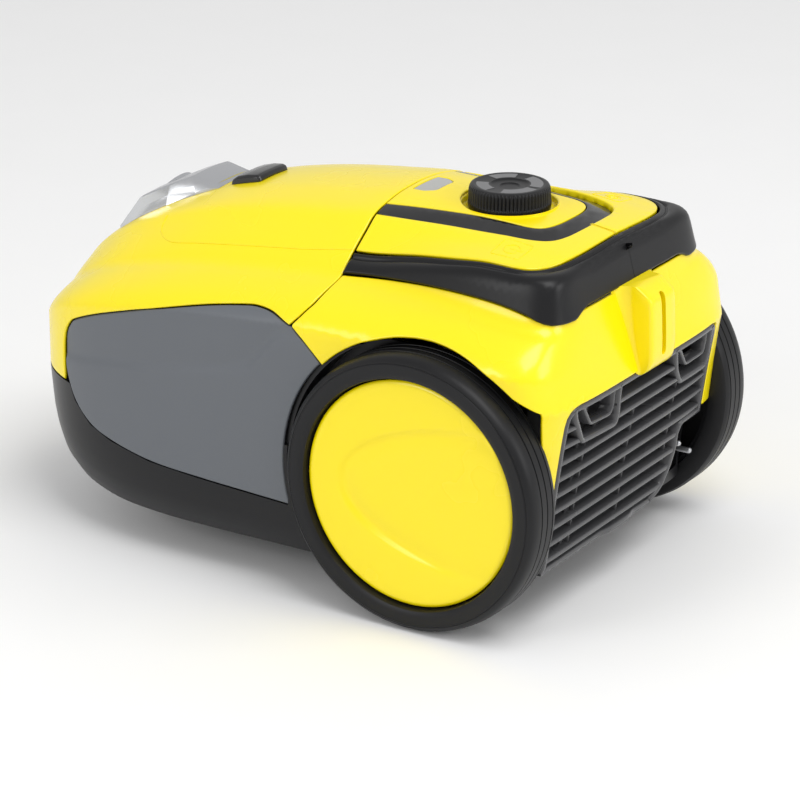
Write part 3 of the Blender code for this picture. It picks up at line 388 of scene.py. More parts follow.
def add_mesh(name, verts, faces, material, body, nodes=(), normals=None, smooth=True):
    mesh = bpy.data.meshes.new(name)
    mesh.from_pydata([tuple(v) for v in np.asarray(verts) * MM], [], faces)
    mesh.materials.append(material)
    if smooth:
        mesh.shade_smooth()
    if normals is not None:
        mesh.normals_split_custom_set_from_vertices([tuple(n) for n in normals])
    elif smooth:
        mesh.set_sharp_from_angle(angle=math.radians(34))
    return register(bpy.data.objects.new(name, mesh), body, nodes)


def unit(vectors):
    return vectors / np.maximum(np.linalg.norm(vectors, axis=-1, keepdims=True), 1e-12)


def inward_steps(chain, closed, turn, relief):
    """Per chain point: the in-surface direction into the piece, and (s, v) moved per millimetre."""
    point = place(chain[:, 0], chain[:, 1], relief)
    n = normal_at(chain[:, 0], chain[:, 1], relief)
    along_s, along_v = slopes(chain[:, 0], chain[:, 1], relief)
    if closed:
        before, after = point - np.roll(point, 1, 0), np.roll(point, -1, 0) - point
    else:
        step = np.diff(point, axis=0)
        before, after = np.vstack([step[:1], step]), np.vstack([step, step[-1:]])
    side_a, side_b = unit(np.cross(n, before)), unit(np.cross(n, after))
    inward = unit(side_a + side_b)
    mitre = 1 / np.maximum((inward * side_a).sum(1), 0.45)
    inward = inward * turn
    ss, sv, vv = (along_s ** 2).sum(1), (along_s * along_v).sum(1), (along_v ** 2).sum(1)
    bs, bv = (along_s * inward).sum(1), (along_v * inward).sum(1)
    det = np.maximum(ss * vv - sv * sv, 1e-9)
    delta = np.stack([(vv * bs - sv * bv) / det, (ss * bv - sv * bs) / det], 1) * mitre[:, None]
    for end in (() if closed else (0, -1)):
        if abs(chain[end, 0]) < 1e-9:
            delta[end] = (0, np.sign(delta[end, 1]) / math.sqrt(vv[end]))
        elif chain[end, 1] > V_END - 1e-6 or chain[end, 1] < 1e-6:
            delta[end] = (np.sign(delta[end, 0]) / math.sqrt(max(ss[end], 1e-9)), 0)
    return delta, inward, n


def skin(name, segments, material, body, nodes=(), thick=2.5, edge=0.9, grid=4.5, holes=(),
         mirror=False, relief=None, arcs=4, lines=()):
    """Panel of the master surface with rounded rims, an inner face and smooth normals.

    segments go round the panel: ("edge", chain) is a free rim, ("plane", chain) lies on x = 0.
    lines are chains that mesh edges must follow, where the relief is fine.
    """
    outline = np.vstack([chain for _, chain in segments])
    scaled = outline * (S_SCALE, 1)
    turn = 1.0 if signed_area(scaled) > 0 else -1.0
    closed = len(segments) == 1
    chains = [(chain, closed, turn) for kind, chain in segments if kind == "edge"]
    for hole in holes:
        chains.append((hole, True, -1.0 if signed_area(hole * (S_SCALE, 1)) > 0 else 1.0))

    points, depths, tilts, dirs = [], [], [], []
    edges, rings = [], []
    for chain, is_closed, sign in chains:
        delta, inward, _ = inward_steps(chain, is_closed, sign, relief)
        chain_rings = []
        for k in range(arcs + 1):
            angle = math.pi / 2 * k / arcs
            first = len(points)
            moved = chain + delta * edge * (1 - math.cos(angle))
            points += [tuple(p) for p in moved]
            depths += [edge * (1 - math.sin(angle))] * len(chain)
            tilts += [math.cos(angle)] * len(chain)
            dirs += [tuple(d) for d in inward]
            index = list(range(first, first + len(chain)))
            chain_rings.append(index)
            edges += list(zip(index, index[1:])) + ([(index[-1], index[0])] if is_closed else [])
        rings.append((chain_rings, is_closed))
    rim_count = len(points)
    rim = np.array(points) * (S_SCALE, 1)

    plane_lines = []
    for kind, chain in segments:
        if kind == "plane":
            line = dense(chain * (S_SCALE, 1), grid) / (S_SCALE, 1)
            keep = [p for p in line if nearest(np.array([p]) * (S_SCALE, 1), rim)[0] > 0.35 * grid]
            points += [tuple(p) for p in keep]
            plane_lines.append(chain)
    polygon = outline * (S_SCALE, 1)
    rim_all = np.array(points) * (S_SCALE, 1)
    for line in lines:
        scaled = line * (S_SCALE, 1)
        clear = inside_polygon(scaled, polygon) & (nearest(scaled, rim_all) > 0.5)
        last = None
        for point, usable in zip(line, clear):
            if usable:
                points.append(tuple(point))
                if last is not None:
                    edges.append((last, len(points) - 1))
                last = len(points) - 1
            else:
                last = None
    fixed = np.array(points) * (S_SCALE, 1)

    low, high = polygon.min(0), polygon.max(0)
    us, vs = np.arange(low[0] + grid / 2, high[0], grid), np.arange(low[1] + grid / 2, high[1], grid)
    gu, gv = np.meshgrid(us, vs)
    gu = gu + (np.arange(len(vs))[:, None] % 2) * grid / 2
    inner = np.stack([gu.ravel(), gv.ravel()], 1)
    inner = inner[inside_polygon(inner, polygon)]
    for hole in holes:
        inner = inner[~inside_polygon(inner, hole * (S_SCALE, 1))]
    inner = inner[nearest(inner, fixed) > 0.62 * grid]
    points += [tuple(p) for p in inner / (S_SCALE, 1)]
    extra = len(points) - rim_count
    depths += [0.0] * extra
    tilts += [0.0] * extra
    dirs += [(0.0, 0.0, 0.0)] * extra
    points = np.array(points)

    for chain in plane_lines:
        line = chain * (S_SCALE, 1)
        for a, b in zip(line, line[1:]):
            along = unit(b - a)
            everything = points * (S_SCALE, 1)
            rel = everything - a
            reach = rel @ along
            off = np.abs(rel[:, 0] * along[1] - rel[:, 1] * along[0])
            on = np.where((off < 1e-5) & (reach > -1e-5) & (reach < np.linalg.norm(b - a) + 1e-5))[0]
            order = on[np.argsort(reach[on])]
            edges += [(int(i), int(j)) for i, j in zip(order, order[1:])]

    flat = [Vector(p) for p in points * (S_SCALE, 1)]
    out, _, faces, origin, _, _ = delaunay_2d_cdt(flat, edges, [], 0, 1e-6)
    source = [o[0] if o else -1 for o in origin]
    coords = np.array([tuple(p) for p in out]) / (S_SCALE, 1)
    centres = np.array([np.mean([coords[i] for i in f], 0) for f in faces]) * (S_SCALE, 1)
    good = inside_polygon(centres, polygon)
    for hole in holes:
        good &= ~inside_polygon(centres, hole * (S_SCALE, 1))
    faces = [tuple(f) for f, ok in zip(faces, good) if ok]

    depth = np.array([depths[i] if i >= 0 else 0.0 for i in source])
    tilt = np.array([tilts[i] if i >= 0 else 0.0 for i in source])
    inward = np.array([dirs[i] if i >= 0 else (0.0, 0.0, 0.0) for i in source])
    surface = place(coords[:, 0], coords[:, 1], relief)
    n = normal_at(coords[:, 0], coords[:, 1], relief)
    verts = surface - n * depth[:, None]
    normals = unit(n * np.sqrt(1 - tilt ** 2)[:, None] - inward * tilt[:, None])
    back = surface - n * thick
    total = len(verts)
    lookup = {o: i for i, o in enumerate(source) if o >= 0}

    def facing(face):
        a, b, c = (verts[i] for i in face)
        return face if np.dot(np.cross(b - a, c - a), n[face[0]]) >= 0 else face[::-1]
    front_faces = [facing(f) for f in faces]
    back_faces = [tuple(i + total for i in f[::-1]) for f in front_faces]
    wall = []
    boundary = {}
    for f in front_faces:
        for i, j in zip(f, f[1:] + f[:1]):
            boundary[(i, j)] = True
    rim_zero = set()
    for chain_rings, _ in rings:
        rim_zero |= {lookup[i] for i in chain_rings[0] if i in lookup}
    for i, j in boundary:
        if (j, i) not in boundary and i in rim_zero and j in rim_zero:
            if not (abs(verts[i][0]) < 1e-4 and abs(verts[j][0]) < 1e-4):
                wall.append((j, i, i + total, j + total))
    all_verts = np.vstack([verts, back])
    all_normals = np.vstack([normals, -n])
    all_faces = front_faces + back_faces + wall
    if mirror:
        count = len(all_verts)
        on_plane = np.abs(all_verts[:, 0]) < 2e-3
        all_verts[on_plane, 0] = 0.0
        all_normals[on_plane, 0] = 0.0
        all_normals = unit(all_normals)
        other = np.where(on_plane, np.arange(count), np.arange(count) + count)
        all_verts = np.vstack([all_verts, all_verts * (-1, 1, 1)])
        all_normals = np.vstack([all_normals, all_normals * (-1, 1, 1)])
        all_faces = all_faces + [tuple(int(other[i]) for i in f[::-1]) for f in all_faces]
    used = sorted({i for f in all_faces for i in f})
    remap = {old: new for new, old in enumerate(used)}
    all_faces = [tuple(remap[i] for i in f) for f in all_faces]
    return add_mesh(name, all_verts[used], all_faces, material, body, nodes, all_normals[used])


def flipped(obj, name, body, node):
    """The same piece on the other side of the machine."""
    mesh = obj.data.copy()
    mesh.transform(Matrix.Scale(-1, 4, (1, 0, 0)))
    mesh.flip_normals()
    return register(bpy.data.objects.new(name, mesh), body, (node,))


# ---- outlines ----------------------------------------------------------------------------
PANEL_TOP = [(-168, 122), (-165.5, 134), (-160, 142), (-153, 147), (-127, 157.2), (-84, 170),
             (-46, 179.5), (-14, 185.2), (-2, 186), (9, 184.6), (22, 179.6), (34, 170.5),
             (46.3, 158.6)]
PANEL_BOTTOM = [(20.8, 60), (-8, 61.4), (-47, 63.3), (-87, 65.8), (-122, 72), (-141, 78),
                (-156.5, 90), (-165, 106)]
HANDLE_LOW = [(39, 204.9), (60, 206.4), (80, 207.8), (100, 208.9), (120, 209.3), (140, 208.8),
              (155, 207.5), (166, 205.6), (174, 203.6)]
HANDLE_CORNER = [(180, 201.0), (184.5, 199.4)]
TRIM_OUTER = [(52.8, SEAM), (51.6, 80), (51.2, 110), (49.6, 129), (46.6, 146), (39.8, 156.8),
              (28, 161.4), (14, 162.8), (0, 163.2)]
TRIM_INNER = [(41.5, SEAM), (38.0, 64), (34.6, 97), (33.2, 120), (32.4, 137), (27.2, 145.6),
              (16, 149.6), (0, 150.8)]


def smooth_line(points, step=2.5, flat_end=False):
    """Catmull-Rom line through points, resampled."""
    points = np.array(points, float)
    first = 2 * points[0] - points[1]
    last = 2 * points[-1] - points[-2]
    if flat_end:
        last = points[-2] * (-1, 1)
    padded = np.vstack([first, points, last])
    result = []
    for i in range(1, len(padded) - 2):
        p0, p1, p2, p3 = padded[i - 1:i + 3]
        count = max(int(np.linalg.norm(p2 - p1) / step), 1)
        for k in range(count):
            w = k / count
            result.append(0.5 * (2 * p1 + (p2 - p0) * w + (2 * p0 - 5 * p1 + 4 * p2 - p3) * w * w
                                 + (3 * p1 - p0 - 3 * p2 + p3) * w ** 3))
    return np.array(result + [points[-1]])


def moved_line(points, shift):
    """The line moved sideways by shift, away from the middle of the machine."""
    points = np.array(points, float)
    step = np.gradient(points, axis=0)
    side = unit(np.stack([step[:, 1], -step[:, 0]], 1))
    side *= np.sign((side * (points - (0, 60))).sum(1) + 1e-9)[:, None]
    return points + side * shift


def plateau_line(shrink, start_y):
    """Half plan outline of the area inside the handle, from the seam round to x = 0."""
    half = 84.6 - shrink
    side = [(79.4 - shrink, start_y), (79.4 - shrink, 80), (83.0 - shrink, 115), (half, 146)]
    angles = np.radians(np.linspace(0, 90, 30))[1:]
    corner = [(half * math.cos(a) ** (2 / 3.4) if a < 1.57 else 0.0,
               146 + (36.5 - shrink) * math.sin(a) ** (2 / 3.4)) for a in angles]
    return np.vstack([smooth_line(side, 3.0)[:-1], dense([side[-1]] + corner, 2.5)])


# ---- covers and panels --------------------------------------------------------------------
CREASES = [UPPER_AT[5], UPPER_AT[6], (UPPER_AT[6] + UPPER_AT[7]) / 2, UPPER_AT[7], UPPER_AT[8]]


def crease_lines(first, last):
    """Mesh lines along the soft crease of the shoulder, from one plan position to another."""
    v = np.arange(v_of(first), v_of(last), 3.2)
    return [np.stack([np.full(len(v), s), v], 1) for s in CREASES]


def on_top(x, y):
    sv = from_plan(np.stack([x, y], 1))
    return sv, place(sv[:, 0], sv[:, 1])


INLET = np.array((0.0, -161.0, 196.0))
TILT = math.radians(34.0)
INLET_IN = np.array((0.0, math.cos(TILT), -math.sin(TILT)))
INLET_UP = np.array((0.0, math.sin(TILT), math.cos(TILT)))


def make_front_cover():
    s_low = from_side([(SEAM - 0.5, 204)])[0]
    top = np.stack([np.linspace(0, s_low[0], 40), np.full(40, s_low[1])], 1)
    side = rounded([(SEAM - 0.5, 204), (33.4, 193), (27.9, 185.6), (22.9, 180.3)], 6)
    under = smooth_line([(22.9, 180.3), (9, 185.4), (-2, 186.8), (-14, 186.0), (-46, 180.3),
                         (-84, 170.8), (-127, 158.0), (-153, 147.8), (-160.7, 142.6), (-166.3, 134.4),
                         (-168.8, 122), (-168.8, 100.5)])
    lower = from_side(np.vstack([dense(side)[:-1], under]))
    end_v = lower[-1, 1]
    band_v = np.linspace(end_v, 0, 75)[1:]
    band_t = np.interp(band_v, PLAN_V, PLAN_T)
    z = np.full_like(band_t, 100.5)
    band_s = bisect(lambda q: share_and_height(q, band_t)[1] > z, np.zeros_like(z), np.full_like(z, 1.9))
    chain = np.vstack([top[:-1], lower, np.stack([band_s, band_v], 1)])

    angle = np.radians(np.linspace(-90, 90, 31))
    ring = [INLET + 24.5 * (math.cos(a) * np.array((1, 0, 0)) + math.sin(a) * INLET_UP) for a in angle]
    ring = np.array(ring)
    low, high = np.full(len(ring), -45.0), np.full(len(ring), 60.0)

    def above(reach):
        p = ring + reach[:, None] * INLET_IN
        return on_top(np.maximum(p[:, 0], 0), np.maximum(p[:, 1], -216.5))[1][:, 2] < p[:, 2]
    reach = bisect(above, low, high, 24)
    p = ring + reach[:, None] * INLET_IN
    bore = on_top(np.maximum(p[:, 0], 0), p[:, 1])[0]
    bore[0, 0] = bore[-1, 0] = 0.0
    slot = rounded([(0, -94.6), (8.2, -94.6), (8.2, -81), (0, -81)], [0, 1.5, 1.5, 0])
    slot = from_plan(dense(slot, 1.5))
    slot[0, 0] = slot[-1, 0] = 0.0
    plane_front = np.array([chain[-1], (0.0, 0.0), bore[0]])
    plane_middle = np.array([bore[-1], slot[0]])
    plane_back = np.array([slot[-1], chain[0]])
    skin("front_cover_skin", [("edge", chain), ("plane", plane_front), ("edge", bore),
                              ("plane", plane_middle), ("edge", slot), ("plane", plane_back)],
         YELLOW, "cover", ("front_cover",), thick=2.6, edge=1.0, grid=4.5, mirror=True,
         lines=crease_lines(-200, SEAM))


def panel_relief(point):
    """Soft step that sweeps across the grey side panel: the part above it lies a little lower."""
    y, z = point[:, 1], point[:, 2]
    line = 118 + 0.165 * (y + 165) + 26 / (1 + np.exp(-(y - 2) / 6.5))
    above = z - line
    return -2.4 / (1 + np.exp(-above / 1.7)) * np.exp(-np.clip(above, 0, None) / 22)


def make_side_panel():
    top = smooth_line(PANEL_TOP, 2.5)
    arch = arc((AXLE_Y, AXLE_Z), 98.5, 135.6, 197.8, 42)[1:]
    outline = np.vstack([top, arch, smooth_line([arch[-1]] + PANEL_BOTTOM + [PANEL_TOP[0]], 2.5)[1:-1]])
    left = skin("side_panel_left_skin", [("edge", from_side(outline))], GREY, "base",
                ("side_panel_left",), thick=2.4, edge=1.3, grid=2.6, relief=panel_relief)
    flipped(left, "side_panel_right_skin", "base", "side_panel_right")


def make_rear_housing():
    low_line = smooth_line(HANDLE_LOW, 2.5)
    rear_top = from_rear([(x, 201.5) for x in np.linspace(96, 0, 36)])
    rear_top = rear_top[rear_top[:, 1] > from_side([low_line[-1]])[0, 1]]
    top = np.vstack([rear_top[::-1], from_side(low_line[::-1])])
    seam = rounded([(39, 204.9), (35, 193), (29.5, 185.8), (24.7, 180.0), (35, 170.6)], [0, 5, 5, 2, 0])
    arch = arc((AXLE_Y, AXLE_Z), 97.0, 135.2, 47.6, 56)
    tail = [(190, 156.6), (197, 152.0)]
    side = from_side(np.vstack([dense(seam)[1:-1], arch, dense([arch[-1]] + tail)[1:]]))
    corner = place(side[-1:, 0], side[-1:, 1])[0]
    face = rounded([(corner[0], corner[2]), (114.5, 124), (113.0, 88.5), (98.6, 88.5), (98.6, 150.6),
                    (0, 150.6)], [0, 20, 2.5, 2.5, 12, 0])
    face = from_rear(dense(face, 2.5)[1:])
    chain = np.vstack([top, side, face])
    chain[0, 1] = chain[-1, 1] = V_END
    plane = np.array([chain[-1], chain[0]])
    skin("rear_housing_skin", [("edge", chain), ("plane", plane)], YELLOW, "base",
         ("rear_housing",), thick=2.6, edge=1.0, grid=4.5, mirror=True,
         lines=crease_lines(25, 200))


INNER_LINE = plateau_line(0.0, 39.2)
INNER_SV = from_plan(INNER_LINE)
INNER_XYZ = place(INNER_SV[:, 0], INNER_SV[:, 1])


def handle_relief(point):
    """Ledge, groove and swelling across the handle, by distance from its inner line."""
    gap = nearest(np.stack([np.abs(point[:, 0]), point[:, 1], point[:, 2]], 1), INNER_XYZ)
    groove = -1.0 * np.exp(-((gap - 4.4) / 0.8) ** 2)
    swell = 2.3 * np.sin(math.pi / 2 * np.clip((gap - 4.6) / 9.0, 0, 1))
    return groove + swell


def make_handle():
    inner = INNER_SV[::-1].copy()
    inner[0, 0] = 0.0
    low_line = smooth_line(HANDLE_LOW + HANDLE_CORNER, 2.5) + (0, 0.5)
    seam_top = INNER_XYZ[0]
    front_z = np.linspace(seam_top[2], low_line[0][1], 10)[1:-1]
    front = from_side([(39.2, z) for z in front_z])
    side = from_side(low_line)
    across = np.linspace(99, 0, 45)
    dip = 5.0 * np.clip((across - 57) / 16, 0, 1) ** 1.5 - 1.2 * np.clip((across - 82) / 17, 0, 1)
    rear = from_rear(np.stack([across, 203.2 - dip], 1))
    rear = rear[rear[:, 1] > side[-1, 1] + 2.0]
    chain = np.vstack([inner, front, side, rear])
    chain[-1, 1] = V_END
    plane = np.array([chain[-1], (0.0, V_END), chain[0]])
    lines = [from_plan(plateau_line(-gap, 40.4)) for gap in (2.8, 3.6, 4.0, 4.4, 4.8, 5.3, 6.2, 7.6)]
    return skin("carry_handle_skin", [("edge", chain), ("plane", plane)], BLACK, "base",
                ("carry_handle",), thick=4.2, edge=1.4, grid=3.2, mirror=True, relief=handle_relief,
                arcs=5, lines=lines)


TRIM_EDGE_SV = from_plan(smooth_line(TRIM_INNER, 2.5, True))
TRIM_EDGE = place(TRIM_EDGE_SV[:, 0], TRIM_EDGE_SV[:, 1])


def trim_relief(point):
    """The trim falls away from the centre panel towards the pedals."""
    gap = nearest(np.stack([np.abs(point[:, 0]), point[:, 1], point[:, 2]], 1), TRIM_EDGE)
    return -0.2 - 3.0 * np.clip((gap - 1.5) / 13, 0, 1) * np.clip((point[:, 1] - SEAM) / 40, 0.15, 1)


def make_deck_pieces():
    outer, inner = smooth_line(TRIM_OUTER, 2.5, True), smooth_line(TRIM_INNER, 2.5, True)
    outer[0, 1] = inner[0, 1] = SEAM + 0.6
    outer[-1, 0] = inner[-1, 0] = 0.0
    front = dense([inner[0], outer[0]], 2.5)
    trim = from_plan(np.vstack([inner[::-1], front[1:-1], outer]))
    plane = np.array([trim[-1], trim[0]])
    skin("inner_trim_skin", [("edge", trim), ("plane", plane)], GLOSS, "base", ("inner_trim",),
         thick=6.0, edge=0.9, grid=3.0, mirror=True, relief=trim_relief)

    panel = moved_line(inner, -0.6)
    panel[-1, 0] = 0.0
    panel[0, 1] = SEAM + 0.6
    start = dense([(0, SEAM + 0.6), panel[0]], 2.5)[:-1]
    rim = from_plan(np.vstack([start, panel]))
    recess = from_plan(arc((0, KNOB_Y), 31.0, 90, -90, 60))
    window_half = rounded([(0, 57.7), (11, 57.7), (15.5, 51), (15.5, 42.7), (0, 42.7)],
                          [0, 5, 5, 1.2, 0])
    window = from_plan(dense(window_half, 1.6))
    for line in (rim, recess, window):
        line[0, 0] = line[-1, 0] = 0.0
    skin("centre_panel_skin", [("edge", rim), ("plane", np.array([rim[-1], recess[0]])),
                               ("edge", recess), ("plane", np.array([recess[-1], window[0]])),
                               ("edge", window), ("plane", np.array([window[-1], rim[0]]))],
         YELLOW, "base", ("centre_panel",), thick=2.6, edge=0.8, grid=3.5, mirror=True)
    lens_half = rounded([(0, 57.3), (10.8, 57.3), (15.1, 51), (15.1, 43.1), (0, 43.1)],
                        [0, 5, 5, 1.2, 0])
    lens_line = from_plan(dense(lens_half, 1.6))
    lens_line[0, 0] = lens_line[-1, 0] = 0.0
    skin("fill_window_skin", [("edge", lens_line), ("plane", np.array([lens_line[-1], lens_line[0]]))],
         LENS, "base", ("fill_window",), thick=1.6, edge=0.5, grid=2.5, mirror=True,
         relief=lambda p: np.full(len(p), -0.3))

    inner_edge = moved_line(outer, 0.9)
    inner_edge = inner_edge[inner_edge[:, 0] > 0.5]
    inner_edge[0, 1] = SEAM + 1.1
    outer_edge = plateau_line(1.5, SEAM + 1.1)
    outer_edge = outer_edge[outer_edge[:, 0] > 0.5]
    loop = np.vstack([inner_edge, [(0.5, inner_edge[-1, 1])], dense([(0.5, 166), (0.5, 179)], 2.5),
                      [(0.5, outer_edge[-1, 1])], outer_edge[::-1],
                      dense([outer_edge[0], inner_edge[0]], 2.5)[1:-1]])
    left = skin("power_pedal_skin", [("edge", from_plan(loop))], YELLOW, "power_pedal",
                ("power_pedal",), thick=4.2, edge=1.1, grid=4.0)
    flipped(left, "rewind_pedal_skin", "rewind_pedal", "rewind_pedal")


# ---- turned and boxed pieces ------------------------------------------------------------------
def revolve(name, profile, centre, axis, material, body, nodes=(), segments=128, shape=None,
            closed=False):
    """Profile of (radius, height) points turned about an axis; shape adds (radius, height) per angle."""
    profile = np.array(profile, float)
    axis = Vector(axis).normalized()
    turn = np.array(axis.to_track_quat('Z', 'Y').to_matrix())
    verts, faces = [], []
    count = len(profile)
    angles = np.linspace(0, 2 * math.pi, segments, endpoint=False)
    for a in angles:
        ring = profile.copy()
        if shape:
            ring = ring + shape(ring, a)
        local = np.stack([ring[:, 0] * math.cos(a), ring[:, 0] * math.sin(a), ring[:, 1]], 1)
        verts += list(local @ turn.T + np.array(centre))
    last = count if closed else count - 1
    for i in range(segments):
        j = (i + 1) % segments
        for k in range(last):
            m = (k + 1) % count
            faces.append((i * count + k, i * count + m, j * count + m, j * count + k))
    mesh = bpy.data.meshes.new(name)
    mesh.from_pydata([tuple(np.array(v) * MM) for v in verts], [], faces)
    bm = bmesh.new()
    bm.from_mesh(mesh)
    bmesh.ops.remove_doubles(bm, verts=bm.verts, dist=1e-7)
    bmesh.ops.dissolve_degenerate(bm, edges=bm.edges, dist=1e-8)
    bm.normal_update()
    bmesh.ops.recalc_face_normals(bm, faces=bm.faces)
    bm.to_mesh(mesh)
    bm.free()
    mesh.materials.append(material)
    mesh.shade_smooth()
    mesh.set_sharp_from_angle(angle=math.radians(32))
    return register(bpy.data.objects.new(name, mesh), body, nodes)


def groove_profile(points, grooves, depth, width):
    """Profile with small V grooves let into it at the given places along straight runs."""
    result = []
    for (r0, h0), (r1, h1), cuts in zip(points, points[1:], grooves + [()] * len(points)):
        result.append((r0, h0))
        length = math.hypot(r1 - r0, h1 - h0)
        along = ((r1 - r0) / length, (h1 - h0) / length)
        inward = (along[1], -along[0])
        for at in cuts:
            for step, down in ((-width / 2, 0), (-width / 4, depth), (width / 4, depth), (width / 2, 0)):
                result.append((r0 + along[0] * (at + step) + inward[0] * down,
                               h0 + along[1] * (at + step) + inward[1] * down))
    return result + [points[-1]]


def make_wheel(suffix, side):
    centre, axis, body = (0, AXLE_Y, AXLE_Z), (side, 0, 0), "wheel_" + suffix
    shoulder = [(74.6, 139.6), (75.4, 142.2), (77.0, 143.2), (79.5, 143.6), (84.6, 143.4), (85.2, 142.8),
                (85.8, 143.0), (87.6, 141.7), (89.1, 139.0), (89.8, 135.6), (90.0, 132.4)]
    for groove in (131.4, 125.0, 118.6):
        shoulder += [(90.0, groove + 0.6), (89.1, groove + 0.3), (89.1, groove - 0.3), (90.0, groove - 0.6)]
    shoulder += [(89.7, 115.9), (88.6, 113.6), (86.6, 112.4), (76.6, 112.2), (76.6, 130.0), (75.0, 134.0)]
    revolve("tyre_" + suffix + "_skin", shoulder, centre, axis, RUBBER, body, ("tyre_" + suffix,),
            segments=160, closed=True)
    rim = [(74.4, 139.4), (74.3, 134.0), (72.4, 131.4), (15.0, 126.5), (5.6, 126.5), (5.6, 111.6),
           (12.5, 111.6), (16.0, 120.0), (71.0, 125.5), (73.6, 114.0), (76.0, 114.0), (76.2, 130.0),
           (74.8, 133.8)]
    revolve("wheel_rim_" + suffix + "_skin", rim, centre, axis, BLACK, body, ("wheel_rim_" + suffix,),
            segments=96, closed=True)
    make_hub_cap(suffix, side, body)


def leaf_groove(y, z):
    """Soft groove along a leaf outline across the hub cap, fading out low at the rear."""
    u, w, long, high = y - 60.0, z, 110.5, 48.0
    field = np.sqrt((u / long) ** 2 + (w / high) ** 2)
    slope = np.sqrt((u / long ** 2) ** 2 + (w / high ** 2) ** 2) / np.maximum(field, 1e-6)
    gap = (field - 1) / np.maximum(slope, 1e-6)
    fade = 1 - 0.75 * np.clip((y + 10) / 60, 0, 1) * (z < 0)
    inner = np.exp(-(np.clip(-gap, 0, None) / 9.0) ** 2)
    return -2.2 * inner / (1 + np.exp(gap / 0.8)) * fade


def make_hub_cap(suffix, side, body):
    """Dished yellow cap with a leaf-shaped groove across it."""
    radii = np.concatenate([np.linspace(0, 68, 58), [69.6, 70.8, 71.6, 72.3, 72.8, 73.15, 73.4]])
    heights = 137.2 + 2.0 * (radii / 68) ** 2
    edge = radii > 70
    heights[edge] = 139.3 - 1.5 * ((radii[edge] - 70) / 3.4) ** 2.4
    segments = 160
    verts, faces = [(side * heights[0], AXLE_Y, AXLE_Z)], []
    angles = np.linspace(0, 2 * math.pi, segments, endpoint=False)
    for radius, height in zip(radii[1:], heights[1:]):
        y, z = radius * np.cos(angles), radius * np.sin(angles)
        lift = leaf_groove(y, z) * np.clip((72.2 - radius) / 2, 0, 1)
        verts += [(side * (height + l), AXLE_Y + yy, AXLE_Z + zz) for yy, zz, l in zip(y, z, lift)]
    rings = len(radii) - 1
    for j in range(segments):
        faces.append((0, 1 + j, 1 + (j + 1) % segments))
        for k in range(rings - 1):
            a, b = 1 + k * segments, 1 + (k + 1) * segments
            faces.append((a + j, b + j, b + (j + 1) % segments, a + (j + 1) % segments))
    back = len(verts)
    for radius, height in ((73.4, 136.2), (70.4, 134.2), (68, 135.8), (0.0, 135.0)):
        if radius:
            verts += [(side * height, AXLE_Y + radius * math.cos(a), AXLE_Z + radius * math.sin(a))
                      for a in angles]
        else:
            verts.append((side * height, AXLE_Y, AXLE_Z))
    previous = 1 + (rings - 1) * segments
    for ring in range(3):
        here = back + ring * segments
        for j in range(segments):
            k = (j + 1) % segments
            faces.append((previous + j, here + j, here + k, previous + k))
        previous = here
    for j in range(segments):
        faces.append((previous + j, len(verts) - 1, previous + (j + 1) % segments))
    if side < 0:
        faces = [f[::-1] for f in faces]
    return add_mesh("hub_cap_" + suffix + "_skin", np.array(verts), faces, YELLOW, body,
                    ("hub_cap_" + suffix,))


def make_knob():
    top = 251.4
    profile = [(0, top - 2.4), (5.6, top - 2.2), (6.6, top - 1.5), (10.6, top - 1.5), (11.8, top - 1.1),
               (12.6, top - 0.5), (21.6, top - 0.2), (22.4, top), (23.6, top), (24.8, top - 0.5),
               (25.5, top - 1.6), (25.9, top - 3.0), (26.1, top - 6),
               (26.2, 240.6), (26.4, 240.0), (26.5, 238.4), (26.2, 236.2), (25.4, 235.7), (3, 235.7),
               (3, 221.4), (0, 221.4)]

    def knurl(ring, angle):
        grip = np.clip((ring[:, 0] - 25.3) / 0.5, 0, 1) * (ring[:, 1] < top - 1.4) * (ring[:, 1] > 240.3)
        wave = 0.5 - 0.5 * np.cos(angle * 66)
        return np.stack([-grip * 0.9 * wave ** 2, np.zeros(len(ring))], 1)
    revolve("speed_knob_skin", profile, (0, KNOB_Y, 0), (0, 0, 1), BLACK, "knob", ("speed_knob",),
            segments=528, shape=knurl)
    cup = [(31.4, 239.6), (30.6, 239.2), (30.2, 238.4), (30.0, 235.4), (29.4, 234.7), (4.4, 234.6),
           (4.4, 233.2), (31.4, 233.2)]
    revolve("knob_recess_cup", cup, (0, KNOB_Y, 0), (0, 0, 1), YELLOW, "base", (), 96, closed=True)


def solid(name, verts, faces, material, body, nodes=(), bevel=0.0, segments=3, angle=30):
    """Mesh piece with its sharp edges rounded."""
    mesh = bpy.data.meshes.new(name)
    mesh.from_pydata([tuple(np.array(v, float) * MM) for v in verts], [], faces)
    bm = bmesh.new()
    bm.from_mesh(mesh)
    bmesh.ops.remove_doubles(bm, verts=bm.verts, dist=1e-7)
    bm.normal_update()
    bmesh.ops.recalc_face_normals(bm, faces=bm.faces)
    bm.to_mesh(mesh)
    bm.free()
    mesh.materials.append(material)
    obj = bpy.data.objects.new(name, mesh)
    bpy.context.scene.collection.objects.link(obj)
    if bevel:
        modifier = obj.modifiers.new("rounded", 'BEVEL')
        modifier.width = bevel * MM
        modifier.segments = segments
        modifier.limit_method = 'ANGLE'
        modifier.angle_limit = math.radians(angle)
        modifier.harden_normals = False
    mesh.shade_smooth()
    mesh.set_sharp_from_angle(angle=math.radians(50))
    return register(obj, body, nodes)


def apply_all(obj):
    """Modifiers of a piece made permanent."""
    graph = bpy.context.evaluated_depsgraph_get()
    mesh = bpy.data.meshes.new_from_object(obj.evaluated_get(graph))
    obj.modifiers.clear()
    obj.data = mesh
    return obj


